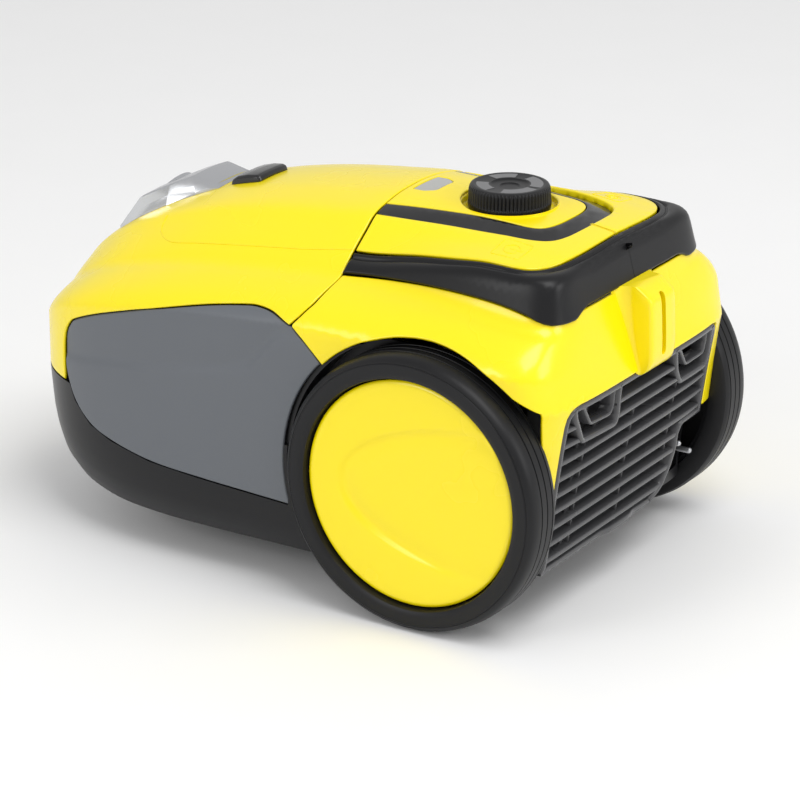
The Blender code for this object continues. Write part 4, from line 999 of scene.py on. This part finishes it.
def extruded(outline, axis, start, end):
    """Vertices and faces of an outline extruded along X (y, z), Y (x, z) or Z (x, y)."""
    place_at = {'X': lambda a, b, c: (c, a, b), 'Y': lambda a, b, c: (a, c, b),
                'Z': lambda a, b, c: (a, b, c)}[axis]
    count = len(outline)
    verts = [place_at(a, b, c) for c in (start, end) for a, b in outline]
    faces = [tuple(range(count)), tuple(range(2 * count - 1, count - 1, -1))]
    faces += [(i, (i + 1) % count, count + (i + 1) % count, count + i) for i in range(count)]
    return verts, faces


def helper(name, verts, faces):
    """Plain closed body, for a cut or a join."""
    mesh = bpy.data.meshes.new(name)
    mesh.from_pydata([tuple(np.array(v, float) * MM) for v in verts], [], faces)
    bm = bmesh.new()
    bm.from_mesh(mesh)
    bm.normal_update()
    bmesh.ops.recalc_face_normals(bm, faces=bm.faces)
    bm.to_mesh(mesh)
    bm.free()
    obj = bpy.data.objects.new(name, mesh)
    bpy.context.scene.collection.objects.link(obj)
    return obj


def combine(obj, steps):
    """Chain of Boolean steps, applied in order; the operands are removed."""
    for operation, other in steps:
        modifier = obj.modifiers.new("cut", 'BOOLEAN')
        modifier.operation = operation
        modifier.object = other
        modifier.solver = 'MANIFOLD'
    apply_all(obj)
    for _, other in steps:
        if other.name in bpy.data.objects:
            bpy.data.objects.remove(other)
    return obj


# ---- swept bars and lines -----------------------------------------------------------------
TAIL_X, TAIL_Z = np.linspace(0, 104, 27), np.linspace(30, 206, 45)
_gx, _gz = np.meshgrid(TAIL_X, TAIL_Z)
_tail = from_rear(np.stack([_gx.ravel(), _gz.ravel()], 1))
TAIL_DEPTH = place(_tail[:, 0], _tail[:, 1])[:, 1].reshape(_gx.shape)


def tail_y(x, z):
    """Depth of the tail face behind a point of the rear view."""
    a = np.clip(np.abs(x) / 4.0, 0, 25.999)
    b = np.clip((z - 30) / 4.0, 0, 43.999)
    i, j = a.astype(int), b.astype(int)
    u, w = a - i, b - j
    low = TAIL_DEPTH[j, i] * (1 - u) + TAIL_DEPTH[j, i + 1] * u
    high = TAIL_DEPTH[j + 1, i] * (1 - u) + TAIL_DEPTH[j + 1, i + 1] * u
    return low * (1 - w) + high * w


def tail_bar(path, width, depth, sink=0.0, chamfer=0.6):
    """Vertices and faces of one bar that follows a rear-view (x, z) path on the tail face."""
    path = np.array(path, float)
    step = np.gradient(path, axis=0)
    side = unit(np.stack([-step[:, 1], step[:, 0]], 1))
    shape = [(-0.5, -depth), (-0.5, -chamfer), (-0.5 + chamfer / width, 0.0),
             (0.5 - chamfer / width, 0.0), (0.5, -chamfer), (0.5, -depth)]
    verts, faces = [], []
    for point, across in zip(path, side):
        front = float(tail_y(np.array([point[0]]), np.array([point[1]]))[0]) - sink
        verts += [(point[0] + across[0] * a * width, front + b, point[1] + across[1] * a * width)
                  for a, b in shape]
    count = len(shape)
    for i in range(len(path) - 1):
        for k in range(count):
            m = (k + 1) % count
            faces.append((i * count + k, i * count + m, (i + 1) * count + m, (i + 1) * count + k))
    faces.append(tuple(range(count))[::-1])
    faces.append(tuple(range((len(path) - 1) * count, len(path) * count)))
    return verts, faces


def gathered(parts):
    """Several vertex-and-face lists as one."""
    verts, faces = [], []
    for more_verts, more_faces in parts:
        first = len(verts)
        verts += list(more_verts)
        faces += [tuple(i + first for i in f) for f in more_faces]
    return verts, faces


def box_mesh(low, high):
    return extruded([(low[0], low[1]), (high[0], low[1]), (high[0], high[1]), (low[0], high[1])],
                    'Z', low[2], high[2])


def tube_mesh(path, radius, sides=8):
    """Round bar along a path of points, as vertices and faces with flat ends."""
    path = np.array(path, float)
    step = unit(np.gradient(path, axis=0))
    side = np.cross(step[0], (0.0, 0.0, 1.0))
    if np.linalg.norm(side) < 0.1:
        side = np.cross(step[0], (1.0, 0.0, 0.0))
    verts, faces = [], []
    for point, along in zip(path, step):
        side = unit(side - along * (side @ along))
        up = np.cross(along, side)
        verts += [point + radius * (side * math.cos(a) + up * math.sin(a))
                  for a in (math.tau * k / sides for k in range(sides))]
    for i in range(len(path) - 1):
        for k in range(sides):
            m = (k + 1) % sides
            faces.append((i * sides + k, (i + 1) * sides + k, (i + 1) * sides + m, i * sides + m))
    faces.append(tuple(range(sides)))
    faces.append(tuple(range((len(path) - 1) * sides, len(path) * sides))[::-1])
    return verts, faces


def raised_line(name, plan, material, body, radius=0.35, lift=0.05):
    """Fine moulded line that follows the top surface along plan (x, y) points."""
    path = dense(plan, 2.5)
    sv = from_plan(np.abs(path * (1, 0)) + path * (0, 1))
    points = place(sv[:, 0], sv[:, 1])
    points = points + normal_at(sv[:, 0], sv[:, 1]) * lift
    points[:, 0] *= np.sign(path[:, 0] + 1e-9)
    return solid(name, *tube_mesh(points, radius), material, body)


# ---- grille ---------------------------------------------------------------------------------
PLUG_EDGE = [(-97.2, 86), (-70, 86), (-66.2, 80), (-67, 69), (-63, 57), (-56, 46), (-44, 38.5)]


def make_grille():
    """Louvre grille with its frame, two finger catches and the plug recess in one corner."""
    plug_edge = dense(rounded(PLUG_EDGE, [0, 5, 6, 20, 20, 12, 0]), 3)
    frame_line = rounded([(95.8, 38.2), (95.8, 147.9), (-95.8, 147.9), (-95.8, 86)], [0, 9, 9, 0])
    parts = [tail_bar(dense(frame_line, 4), 4.2, 14, chamfer=1.0),
             tail_bar(plug_edge, 4.4, 15, chamfer=1.2),
             tail_bar(dense([(97.0, 38.2), (-44, 38.2)], 6), 4.0, 12, 0.4)]
    catches = [([(91, 148), (87, 140), (74, 121.5), (32, 119.4), (31.6, 127), (37.6, 148)],
                [(82, 148), (77.5, 143.5), (66, 130.6), (41.5, 129), (39.3, 134), (43.4, 148)]),
               ([(-36, 148), (-45, 131), (-54, 120.5), (-91.2, 119.6), (-94, 128), (-89, 148)],
                [(-41, 148), (-46.6, 143.5), (-59, 131), (-84.6, 131), (-84.6, 139), (-81.4, 148)])]
    for outer, inner in catches:
        parts.append(tail_bar(dense(rounded(outer, [0, 4, 5, 3, 3, 0]), 2), 4.0, 12, -0.4, 1.0))
        parts.append(tail_bar(dense(rounded(inner, [0, 4, 5, 3, 3, 0]), 2), 2.4, 9, 0.8, 0.7))
    for i in range(10):
        z = 45.5 + 11.1 * i
        if z > 143:
            continue
        right = -94.5 if z > 87 else float(np.interp(z, [p[1] for p in PLUG_EDGE[:0:-1]],
                                                     [p[0] for p in PLUG_EDGE[:0:-1]]))
        spans = [(94.5, right)]
        if z > 121:
            grow = (z - 121) / 27 * 17
            spans = [(94.5, 75 + grow), (33 + grow / 3, -53 + grow), (-93.4, -94.5)]
        for high, low in spans:
            if high - low > 4:
                parts.append(tail_bar(dense([(high, z), (low, z)], 5), 3.3, 12, 0.5))
    for x, low in ((62, 40), (0, 40), (-58, 62)):
        parts.append(tail_bar(dense([(x, low), (x, 118)], 6), 1.6, 9, 4.0, 0.4))
    for i in range(5):
        for x in (47, 66):
            z = 50.5 + 22.2 * i - (x - 47) * 0.2
            parts.append(tail_bar([(x, z), (x, z + 7)], 5.5, 1.5, 6.5, 0.4))
    solid("exhaust_grille_skin", *gathered(parts), GRILLE, "base", ("exhaust_grille",))
    well = extruded([(-96.5, 40), (-69, 40), (-69, 84), (-96.5, 84)], 'Y', 165, 167)
    solid("plug_recess_wall", *well, GLOSS, "base", ())
    # Near-black sheet behind the louvres: painted shade for the dark cavity of the grille, in front of the
    # filter.
    shade_backing = extruded([(-95, 38), (95, 38), (95, 149), (-95, 149)], 'Y', 173.2, 174.2)
    solid("grille_shade_sheet", *shade_backing, MESH, "base", ())


# ---- parking block ---------------------------------------------------------------------------
def make_park_block():
    """Tube parking stop on the tail, flared into the shell, with its hook slot."""
    block_y = monotone([(148, 210.0), (150, 213.0), (153, 215.4), (158, 217.0), (164, 217.3),
                        (180, 216.8), (194, 215.9), (197.5, 214.8), (200, 212.0), (204.6, 205.4)])
    levels = np.array([148, 149.5, 151, 153, 156, 160, 164, 170, 177, 184, 190, 194, 196, 198, 200, 202,
                       204.6])
    rings = []
    for z in levels:
        flare = 2.5 + 9.0 * ((z - 148) / 57) ** 2.0
        back = float(block_y(np.array([z]))[0])
        face = float(tail_y(np.array([16.0]), np.array([z]))[0]) - 0.6
        depth = max(back - face, 0.5)
        flare_in = min(flare, depth * 0.8)
        corner = min(2.2, depth * 0.2)
        half = [(16 + flare * (1 - math.sin(a)), face + flare_in * (1 - math.cos(a)))
                for a in np.radians([0, 15, 30, 45, 60, 75, 90])]
        half += [(16 - corner * (1 - math.cos(a)), back - corner + corner * math.sin(a))
                 for a in np.radians([0, 30, 60, 90])]
        half += [(9, back), (4, back)]
        full = half + [(-x, y) for x, y in half[::-1]] + [(-18, face - 5), (18, face - 5)]
        rings.append([(x, y, z) for x, y in full])
    verts = [p for ring in rings for p in ring]
    block = solid("park_block", verts, ring_faces(len(rings), len(rings[0])), YELLOW, "base")
    slot = rounded([(-2.6, 158.5), (2.6, 158.5), (2.6, 199), (-2.6, 199)], 2.4, closed=True)
    combine(block, [('DIFFERENCE', helper("slot", *extruded(slot, 'Y', 204.5, 230)))])
    finish_edges(block, 0.7)


def finish_edges(obj, width, segments=3, angle=35):
    """Rounded edges and smooth shading, sharp by angle, on a piece that has been cut."""
    modifier = obj.modifiers.new("rounded", 'BEVEL')
    modifier.width = width * MM
    modifier.segments = segments
    modifier.limit_method = 'ANGLE'
    modifier.angle_limit = math.radians(angle)
    obj.data.shade_smooth()
    obj.data.set_sharp_from_angle(angle=math.radians(50))


# ---- base ---------------------------------------------------------------------------------------
def loft(name, inset, first=NOSE + 0.3, last=TAIL - 0.3, stations=90):
    """Closed body: the master surface moved inwards by inset."""
    t = np.interp(np.linspace(v_of(first), v_of(last), stations), PLAN_V, PLAN_T)
    s = np.concatenate([np.linspace(0, 1, 26), 1 + np.linspace(0, 1, 19)[1:]])
    rings = []
    for station in t:
        share, z = share_and_height(s, np.full_like(s, station))
        crown, belly = float(crown_z(station)), float(belly_z(station))
        grow_up = (crown - inset - MID) / (crown - MID)
        grow_down = (MID - belly - inset) / (MID - belly)
        z = MID + (z - MID) * np.where(s <= 1, grow_up, grow_down)
        x = (float(half_width(station)) - inset) * share
        middle = (NOSE + TAIL) / 2
        y = middle + (station - middle) * (1 - 2 * inset / (TAIL - NOSE)) + lean(station, z)
        ring = np.stack([x, y, z], 1)
        rings.append(np.vstack([ring, (ring * (-1, 1, 1))[-2:0:-1]]))
    return helper(name, np.vstack(rings), ring_faces(len(rings), len(rings[0]), len(s)))


def round_cutter(name, centre, radius, axis, start, end, count=64):
    return helper(name, *extruded(arc(centre, radius, 0, 360, count)[:-1], axis, start, end))


def shifted(outline, offset):
    """Closed outline moved outwards by offset."""
    outline = np.array(outline, float)
    area = signed_area(outline)
    before = unit(outline - np.roll(outline, 1, 0))
    after = unit(np.roll(outline, -1, 0) - outline)
    side = 1 if area > 0 else -1
    na, nb = (np.stack([d[:, 1], -d[:, 0]], 1) * side for d in (before, after))
    mitre = unit(na + nb)
    return outline + mitre * (offset / np.maximum((mitre * na).sum(1), 0.5))[:, None]


def make_base():
    """Black floor pan with the band round the nose, the wheel wells and the two bays."""
    base = loft("base_housing_skin", 0.0)
    core = combine(loft("core", 3.2), [
        ('DIFFERENCE', helper("above", *box_mesh((-200, -260, 176), (200, 260, 300))))])
    arch = arc((AXLE_Y, AXLE_Z), 98.5, 135.6, 197.8, 24)[1:-1]
    outline = np.vstack([PANEL_TOP, arch, PANEL_BOTTOM])
    tail = [(162, 176.5), (162, 128), (180, 100), (174, 44), (172, 10), (260, 10), (260, 176.5)]
    steps = [('DIFFERENCE', helper("above", *box_mesh((-200, -260, 99.7), (200, 260, 300)))),
             ('DIFFERENCE', helper("recess", *extruded(shifted(outline, 0.5), 'X', -200, 200))),
             ('UNION', core),
             ('DIFFERENCE', helper("tail", *extruded(tail, 'X', -200, 200)))]
    for low, high in ((109, 180), (-180, -109)):
        steps.append(('DIFFERENCE', round_cutter("well", (AXLE_Y, AXLE_Z), 95.5, 'X', low, high, 96)))
    for front, rear in ((-260, 6), (9, 300)):
        inner = loft("bay", 5.7, stations=60)
        cuts = [('DIFFERENCE', helper("front", *box_mesh((-300, -400, -50), (300, front, 400)))),
                ('DIFFERENCE', helper("rear", *box_mesh((-300, rear, -50), (300, 500, 400)))),
                ('DIFFERENCE', helper("under", *box_mesh((-300, -400, -50), (300, 500, 25.6))))]
        for low, high in ((106, 180), (-180, -106)):
            cuts.append(('DIFFERENCE', round_cutter("wall", (AXLE_Y, AXLE_Z), 98.1, 'X', low, high, 96)))
        cuts.append(('DIFFERENCE', round_cutter("dome", (0, -138), 29, 'Z', 0, 49)))
        steps.append(('DIFFERENCE', combine(inner, cuts)))
    steps += [('DIFFERENCE', round_cutter("pocket", (0, -138), 26.4, 'Z', 0, 46.4)),
              ('DIFFERENCE', round_cutter("socket", (0, -138), 5.3, 'Z', 40, 60, 32)),
              ('DIFFERENCE', round_cutter("intake", (36, 92), 17, 'Y', 0, 20, 48))]
    for low, high in ((95, 111), (-111, -95)):
        steps.append(('UNION', round_cutter("boss", (AXLE_Y, AXLE_Z), 12, 'X', low, high, 48)))
    steps.append(('DIFFERENCE', round_cutter("axle_hole", (AXLE_Y, AXLE_Z), 5.3, 'X', -150, -80, 32)))
    steps.append(('DIFFERENCE', round_cutter("axle_hole", (AXLE_Y, AXLE_Z), 5.3, 'X', 80, 150, 32)))
    combine(base, steps)
    base.data.materials.clear()
    base.data.materials.append(BLACK)
    base.data.shade_smooth()
    base.data.set_sharp_from_angle(angle=math.radians(28))
    register(base, "base", ("base_housing",))


# ---- hood and latch --------------------------------------------------------------------------------
def make_hood():
    """Silver hood over the hose port: sloping flanks, a flat brow and a rear slope."""
    sections = [((42.0, -169.6, 188.0), (40.4, -153.4, 210.4), 1.6),
                ((41.2, -158.0, 193.5), (39.2, -149.6, 212.3), 1.6),
                ((34.0, -138.0, 205.0), (29.4, -137.0, 218.6), 1.4),
                ((26.4, -119.0, 215.0), (21.4, -125.2, 223.9), 1.0),
                ((23.4, -110.5, 219.0), (20.0, -122.0, 223.8), 1.0),
                ((20.6, -104.0, 219.0), (19.0, -107.0, 221.0), 0.8)]
    rings = []
    for (x0, y0, z0), (x1, y1, z1), crown in sections:
        top = [(x1 * w, y1, z1 + crown * (1 - w * w)) for w in (0, 0.25, 0.5, 0.75, 0.93)]
        flank = [(x1 + (x0 - x1) * w, y1 + (y0 - y1) * w, z1 + (z0 - z1) * w) for w in (0.04, 0.5, 1.0)]
        half = top + flank + [(x0, y0 + 2, z0 - 15), (0.0, y0 + 2, z0 - 15)]
        rings.append(half + [(-x, y, z) for x, y, z in half[-2:0:-1]])
    verts = [p for ring in rings for p in ring]
    hood = helper("inlet_hood_skin", verts, ring_faces(len(rings), len(rings[0]), len(half)))
    seat = loft("hood_seat", -0.1, -216, 0, 60)
    port = helper("port", *port_cutter(21.6, -60, 70))
    combine(hood, [('DIFFERENCE', seat), ('DIFFERENCE', port)])
    hood.data.materials.clear()
    hood.data.materials.append(SILVER)
    finish_edges(hood, 0.9, 3, 24)
    register(hood, "cover", ("inlet_hood",))

    bezel = [(22.6, -1.2), (24.4, -1.0), (25.0, 0.2), (25.0, 3.0), (21.4, 3.0), (21.4, -0.6), (21.8, -1.2)]
    revolve("port_bezel", bezel, INLET, tuple(INLET_IN), SILVER, "cover", (), 96, closed=True)
    tube = [(21.2, 52.0), (21.2, 4.0), (20.6, 2.6), (19.2, 2.0), (17.8, 2.4), (17.0, 4.4), (17.0, 14.0),
            (17.5, 15.0), (17.5, 19.0), (17.0, 20.0), (17.0, 52.0)]
    revolve("inlet_tube_skin", tube, INLET, tuple(INLET_IN), BLACK, "cover", ("inlet_tube",), 96,
            closed=True)
    lips = [(23.5, 57.0), (23.5, 52.3), (17.4, 52.3), (17.2, 54.4), (18.2, 56.0), (20.0, 57.0)]
    revolve("inlet_seal_skin", lips, INLET, tuple(INLET_IN), SEAL, "cover", ("inlet_seal",), 64,
            closed=True)


def port_cutter(radius, start, end):
    verts = []
    for reach in (start, end):
        for a in np.radians(np.arange(0, 360, 5)):
            verts.append(INLET + INLET_IN * reach
                         + radius * (math.cos(a) * np.array((1, 0, 0)) + math.sin(a) * INLET_UP))
    count = len(verts) // 2
    faces = [tuple(range(count)), tuple(range(count, 2 * count))[::-1]]
    faces += [(i, (i + 1) % count, count + (i + 1) % count, count + i) for i in range(count)]
    return verts, faces


def make_latch():
    """Finger bar behind the hood, on a hooked shank that slides in the cover's slot."""
    rings = []
    for y, low, high, half in ((-97.4, 219.0, 222.4, 15.6), (-96.4, 219.0, 225.2, 16.2),
                               (-92.0, 220.0, 228.2, 16.8), (-84.0, 222.6, 230.4, 17.0),
                               (-77.0, 224.6, 231.3, 16.8), (-74.6, 225.2, 230.6, 16.4),
                               (-73.6, 225.6, 228.4, 15.8)):
        rings.append([(-half, y, low), (half, y, low), (half, y, high - 1.4), (half - 1.4, y, high),
                      (half * 0.4, y, high + 0.5), (-half * 0.4, y, high + 0.5), (-half + 1.4, y, high),
                      (-half, y, high - 1.4)])
    verts = [p for ring in rings for p in ring]
    latch = solid("cover_latch_skin", verts, ring_faces(len(rings), 8), GLOSS, "latch",
                  ("cover_latch",), bevel=0.8, segments=4, angle=20)
    seat = loft("latch_seat", -0.25, -150, 0, 50)
    combine(latch, [('DIFFERENCE', seat)])
    latch.data.shade_smooth()
    latch.data.set_sharp_from_angle(angle=math.radians(50))
    hook = [(-88, 227.5), (-82, 227.5), (-82, 204), (-86, 198.5), (-91, 201.5), (-88, 206)]
    solid("cover_latch_shank", *extruded(hook, 'X', -7, 7), GLOSS, "latch", (), bevel=0.5)


# ---- caster, plug and small pieces ---------------------------------------------------------------
def make_caster():
    wheel_y, wheel_z = -129.0, 13.0
    fork = [(0, 52.4), (4.4, 52.4), (4.9, 51.8), (4.9, 45.8), (20.4, 45.8), (21, 45.2), (21, 43.2),
            (20.2, 42.6), (0, 42.6)]
    revolve("caster_fork_disc", fork, (0, -138, 0), (0, 0, 1), BLACK, "caster_swivel",
            ("caster_fork",), 72)
    cheek = rounded([(wheel_y - 12, 43.5), (wheel_y - 5, 8.4), (wheel_y + 5, 8.4), (wheel_y + 9.5, 26),
                     (wheel_y + 9.5, 43.5)], [0, 4.5, 4.5, 8, 0])
    for x in (-9.5, 6.5):
        solid("caster_cheek", *extruded(cheek, 'X', x, x + 3), BLACK, "caster_swivel", (), bevel=0.6)
    wheel = groove_profile([(11.6, 6.0), (12.7, 5.4), (13.0, 4.4), (13.0, -4.4), (12.7, -5.4),
                            (11.6, -6.0)], [(), (), (2.9, 5.9), ()], 0.5, 1.0)
    wheel += [(9.4, -6.0), (8.8, -5.0), (4.2, -5.0), (3.8, -6.0), (1.8, -6.0), (1.8, 6.0), (3.8, 6.0),
              (4.2, 5.0), (8.8, 5.0), (9.4, 6.0)]
    revolve("caster_wheel_skin", wheel, (0, wheel_y, wheel_z), (1, 0, 0), RUBBER, "caster_roller",
            ("caster_wheel",), 72, closed=True)
    axle = [(0, 9.3), (1.2, 9.3), (1.5, 9.0), (1.5, -9.0), (1.2, -9.3), (0, -9.3)]
    revolve("caster_axle_skin", axle, (0, wheel_y, wheel_z), (1, 0, 0), STEEL, "caster_swivel",
            ("caster_axle",), 32)


def make_plug():
    """Moulded two-pin plug parked in the corner of the grille; its lead is not made here."""
    turn = math.radians(-33)
    centre = np.array((-79.5, 175.0, 65.0))

    def at(x, y, z):
        return centre + np.array((x * math.cos(turn) + z * math.sin(turn), y,
                                  -x * math.sin(turn) + z * math.cos(turn)))
    rings, sides = [], 40
    profile = monotone([(-35, 4.0), (-31, 4.2), (-24, 5.6), (-15, 12.4), (-10, 15.2), (-4, 16.0),
                        (-0.8, 16.0), (0.0, 15.4)])
    height = monotone([(-35, 4.0), (-24, 5.2), (-14, 6.4), (-0.8, 6.8), (0.0, 6.2)])
    for along in (-35, -33, -31, -29, -27, -25, -22, -19, -16, -13, -10, -7, -4, -0.8, 0.0):
        ribs = 0.45 if along in (-33, -29, -25) else 0.0
        half_x = float(profile(np.array([along]))[0]) - ribs
        half_z = float(height(np.array([along]))[0]) - ribs
        rings.append([at(half_x * math.copysign(abs(math.cos(a)) ** 0.6, math.cos(a)), along,
                         half_z * math.copysign(abs(math.sin(a)) ** 0.6, math.sin(a)))
                      for a in (math.tau * i / sides for i in range(sides))])
    verts = [p for ring in rings for p in ring]
    solid("plug_body_skin", verts, ring_faces(len(rings), sides), BLACK, "base", ("plug_body",))
    for name, offset in (("plug_pin_a", 9.3), ("plug_pin_b", -9.3)):
        spot = at(offset, 0, 0)
        pin = [(0, 19.0), (1.1, 19.0), (1.8, 18.3), (2.0, 17.4), (2.0, 9.5), (1.9, 9.4), (1.9, 0.3),
               (0, 0.3)]
        revolve(name + "_skin", pin, spot, (0, 1, 0), STEEL, "base", (name,), 32)


def make_details():
    """Fine moulded lines: the cover's contour, the pedals' symbols and the knob's scale."""
    contour = smooth_line([(78.3, 37.4), (80.8, 5), (81.6, -30), (81.2, -62), (79.0, -95), (75.6, -107),
                           (70.0, -115.0), (64, -119.7), (54, -122.0)], 3)
    for side in (1, -1):
        raised_line("contour_line", contour * (side, 1), YELLOW, "cover", 0.42)
        raised_line("pedal_split", np.array([(side * 0.9, 163.6), (side * 0.9, 181.5)]), YELLOW,
                    "power_pedal" if side > 0 else "rewind_pedal", 0.2)
    frame_line = rounded([(54, 134), (74, 134), (74, 154), (54, 154)], 2.5, closed=True)
    closed_frame = np.vstack([frame_line, frame_line[:1]])
    ring = arc((64, 144), 5.2, 120, 420, 20)
    bar = np.array([(64, 143), (64, 151)])
    raised_line("power_symbol_frame", closed_frame, YELLOW, "power_pedal", 0.3)
    raised_line("power_symbol_ring", ring, YELLOW, "power_pedal", 0.3)
    raised_line("power_symbol_bar", bar, YELLOW, "power_pedal", 0.3)
    raised_line("rewind_symbol_frame", closed_frame * (-1, 1), YELLOW, "rewind_pedal", 0.3)
    coil = np.array([(-64 + r * math.cos(a), 144 + r * math.sin(a))
                     for a, r in zip(np.linspace(0, 4.5 * math.pi, 60), np.linspace(6, 2, 60))])
    raised_line("rewind_symbol_coil", coil, YELLOW, "rewind_pedal", 0.3)
    for start, end in ((14, 84), (96, 166), (196, 250), (290, 344)):
        sector = np.vstack([arc((0, KNOB_Y), 21.2, start, end, 16), arc((0, KNOB_Y), 13.4, end, start, 16)])
        solid("knob_scale", *extruded(sector, 'Z', 250.6, 251.25), KNOB_MARK, "knob", ())


def make_bag():
    """Paper dust bag: a full pouch with a soft bottom, pleated gussets and creased faces."""
    rings, sides = [], 96
    levels = np.linspace(0, 1, 46)
    for level in levels:
        z = 31.5 + (184.0 - 31.5) * level
        full = math.sin(math.pi * min(max(level * 0.94 + 0.03, 0), 1)) ** 0.38
        front = np.interp(level, [0, 0.12, 0.3, 0.55, 0.8, 1.0], [-90, -96, -134, -133, -106, -60])
        rear = np.interp(level, [0, 0.12, 0.8, 1.0], [-16, -5.5, -4.0, -16])
        centre, half_y = (front + rear) / 2, (rear - front) / 2
        half_x = 81.5 * (0.86 + 0.14 * full)
        ring = []
        for i in range(sides):
            a = math.tau * i / sides
            x = half_x * math.copysign(abs(math.cos(a)) ** 0.42, math.cos(a))
            y = half_y * math.copysign(abs(math.sin(a)) ** 0.52, math.sin(a))
            pleat = math.exp(-((y / half_y) / 0.16) ** 2) * (1 if abs(x) > 0.7 * half_x else 0)
            x *= 1 - 0.13 * pleat * full
            crease = (0.8 * math.sin(z * 0.23 + x * 0.05) * math.sin(x * 0.11 + 1.3)
                      + 0.5 * math.sin(y * 0.31 + z * 0.12))
            shrink = 1 - (1 - full) * 0.25 - 0.006 * (1 + crease)
            ring.append((x * shrink, centre + y * shrink, z))
        rings.append(ring)
    verts = [p for ring in rings for p in ring]
    faces = [(i * sides + k, i * sides + (k + 1) % sides, (i + 1) * sides + (k + 1) % sides,
              (i + 1) * sides + k) for i in range(len(rings) - 1) for k in range(sides)]
    faces += [tuple(range(sides))[::-1], tuple(range((len(rings) - 1) * sides, len(rings) * sides))]
    return solid("dust_bag_skin", verts, faces, PAPER, "base", ("dust_bag",), bevel=3.0, segments=3,
                 angle=50)


def make_winding():
    """Cord wound on the reel: layers of turns side by side."""
    parts, radius = [], 3.2
    for layer in range(3):
        r = 31.0 + 7.0 * layer
        turns = 6
        angle = np.linspace(0, math.tau * turns, 36 * turns + 1)
        x = np.linspace(-17.2, 17.2, len(angle)) * (1 if layer % 2 == 0 else -1)
        path = np.stack([-70 + x, 80 + r * np.cos(angle), 112 + r * np.sin(angle)], 1)
        parts.append(tube_mesh(path, radius, 8))
    solid("cord_winding_skin", *gathered(parts), BLACK, "cord_reel", ("cord_winding",))


def make_camera_and_lights():
    camera_data = bpy.data.cameras.new("camera")
    camera_data.lens = 156.22
    camera_data.sensor_width = 36.0
    camera_data.shift_x = 0.01166
    camera_data.shift_y = -0.02166
    camera = bpy.data.objects.new("camera", camera_data)
    bpy.context.scene.collection.objects.link(camera)
    back = Vector((0.7946, 0.4979, 0.3474)).normalized()
    camera.location = Vector((0, 0.0165, 0.1)) + back * 2.2815
    camera.rotation_mode = 'QUATERNION'
    camera.rotation_quaternion = (-back).to_track_quat('-Z', 'Y')
    bpy.context.scene.camera = camera
    bpy.context.scene.view_settings.view_transform = 'Standard'

    floor_verts, floor_faces = extruded([(-6000, -6000), (6000, -6000), (6000, 6000), (-6000, 6000)],
                                        'Z', -20, 0)
    floor = helper("floor", floor_verts, floor_faces)
    floor.data.materials.append(node_material("floor_white", (0.92, 0.92, 0.92), 0.6, grain=30,
                                              bump=0.0, vary=0.005, specular=0.2))

    world = bpy.data.worlds.new("studio")
    bpy.context.scene.world = world
    world.use_nodes = True
    world.node_tree.nodes["Background"].inputs["Color"].default_value = (1, 1, 1, 1)
    world.node_tree.nodes["Background"].inputs["Strength"].default_value = 0.62
    for name, spot, target, size, power in (
            ("key", (0.6, 1.4, 2.8), (0, 0, 0.1), 1.8, 46),
            ("side", (2.8, -1.0, 1.4), (0, 0, 0.12), 1.4, 22),
            ("rear", (-0.6, 2.8, 1.2), (0, 0.1, 0.12), 1.2, 16)):
        light_data = bpy.data.lights.new(name, 'AREA')
        light_data.energy = power
        light_data.size = size
        light = bpy.data.objects.new(name, light_data)
        light.location = spot
        light.rotation_mode = 'QUATERNION'
        light.rotation_quaternion = (Vector(target) - Vector(spot)).to_track_quat('-Z', 'Y')
        bpy.context.scene.collection.objects.link(light)


make_camera_and_lights()
make_front_cover()
make_side_panel()
make_rear_housing()
make_handle()
make_deck_pieces()
make_wheel("left", 1)
make_wheel("right", -1)
make_knob()
make_grille()
make_park_block()
make_base()
make_hood()
make_latch()
make_caster()
make_plug()
make_details()
make_bag()
make_winding()

NODE_MATERIALS = {
    YELLOW: ("front_cover", "rear_housing"),
    BLACK: ("base_housing", "control_deck", "caster_fork", "filter_frame", "reel_bracket",
            "hinge_arm_left", "hinge_arm_right", "inlet_tube", "plug_body", "cord_lead",
            "cord_winding"),
    GLOSS: ("exhaust_grille", "cover_latch"),
    RUBBER: ("caster_wheel",),
    SILVER: ("inlet_hood",),
    SEAL: ("inlet_seal", "motor_seal", "motor_mount"),
    STEEL: ("axle_pin_left", "axle_pin_right", "caster_axle", "reel_axle", "plug_pin_a", "plug_pin_b",
            "power_pedal_spring", "rewind_pedal_spring", "impeller", "stator"),
    COPPER: ("armature",),
    PAPER: ("dust_bag",),
    CARD: ("bag_collar",),
    FLEECE: ("exhaust_filter", "motor_filter"),
    WHITE: ("bag_holder", "motor_housing", "cord_reel", "reel_spring_case", "indicator_tray"),
    RED: ("indicator_flag", "brake_lever"),
    BOARD: ("control_board",),
}
for material, names in NODE_MATERIALS.items():
    for name in names:
        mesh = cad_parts[name].data
        mesh.materials.clear()
        mesh.materials.append(material)
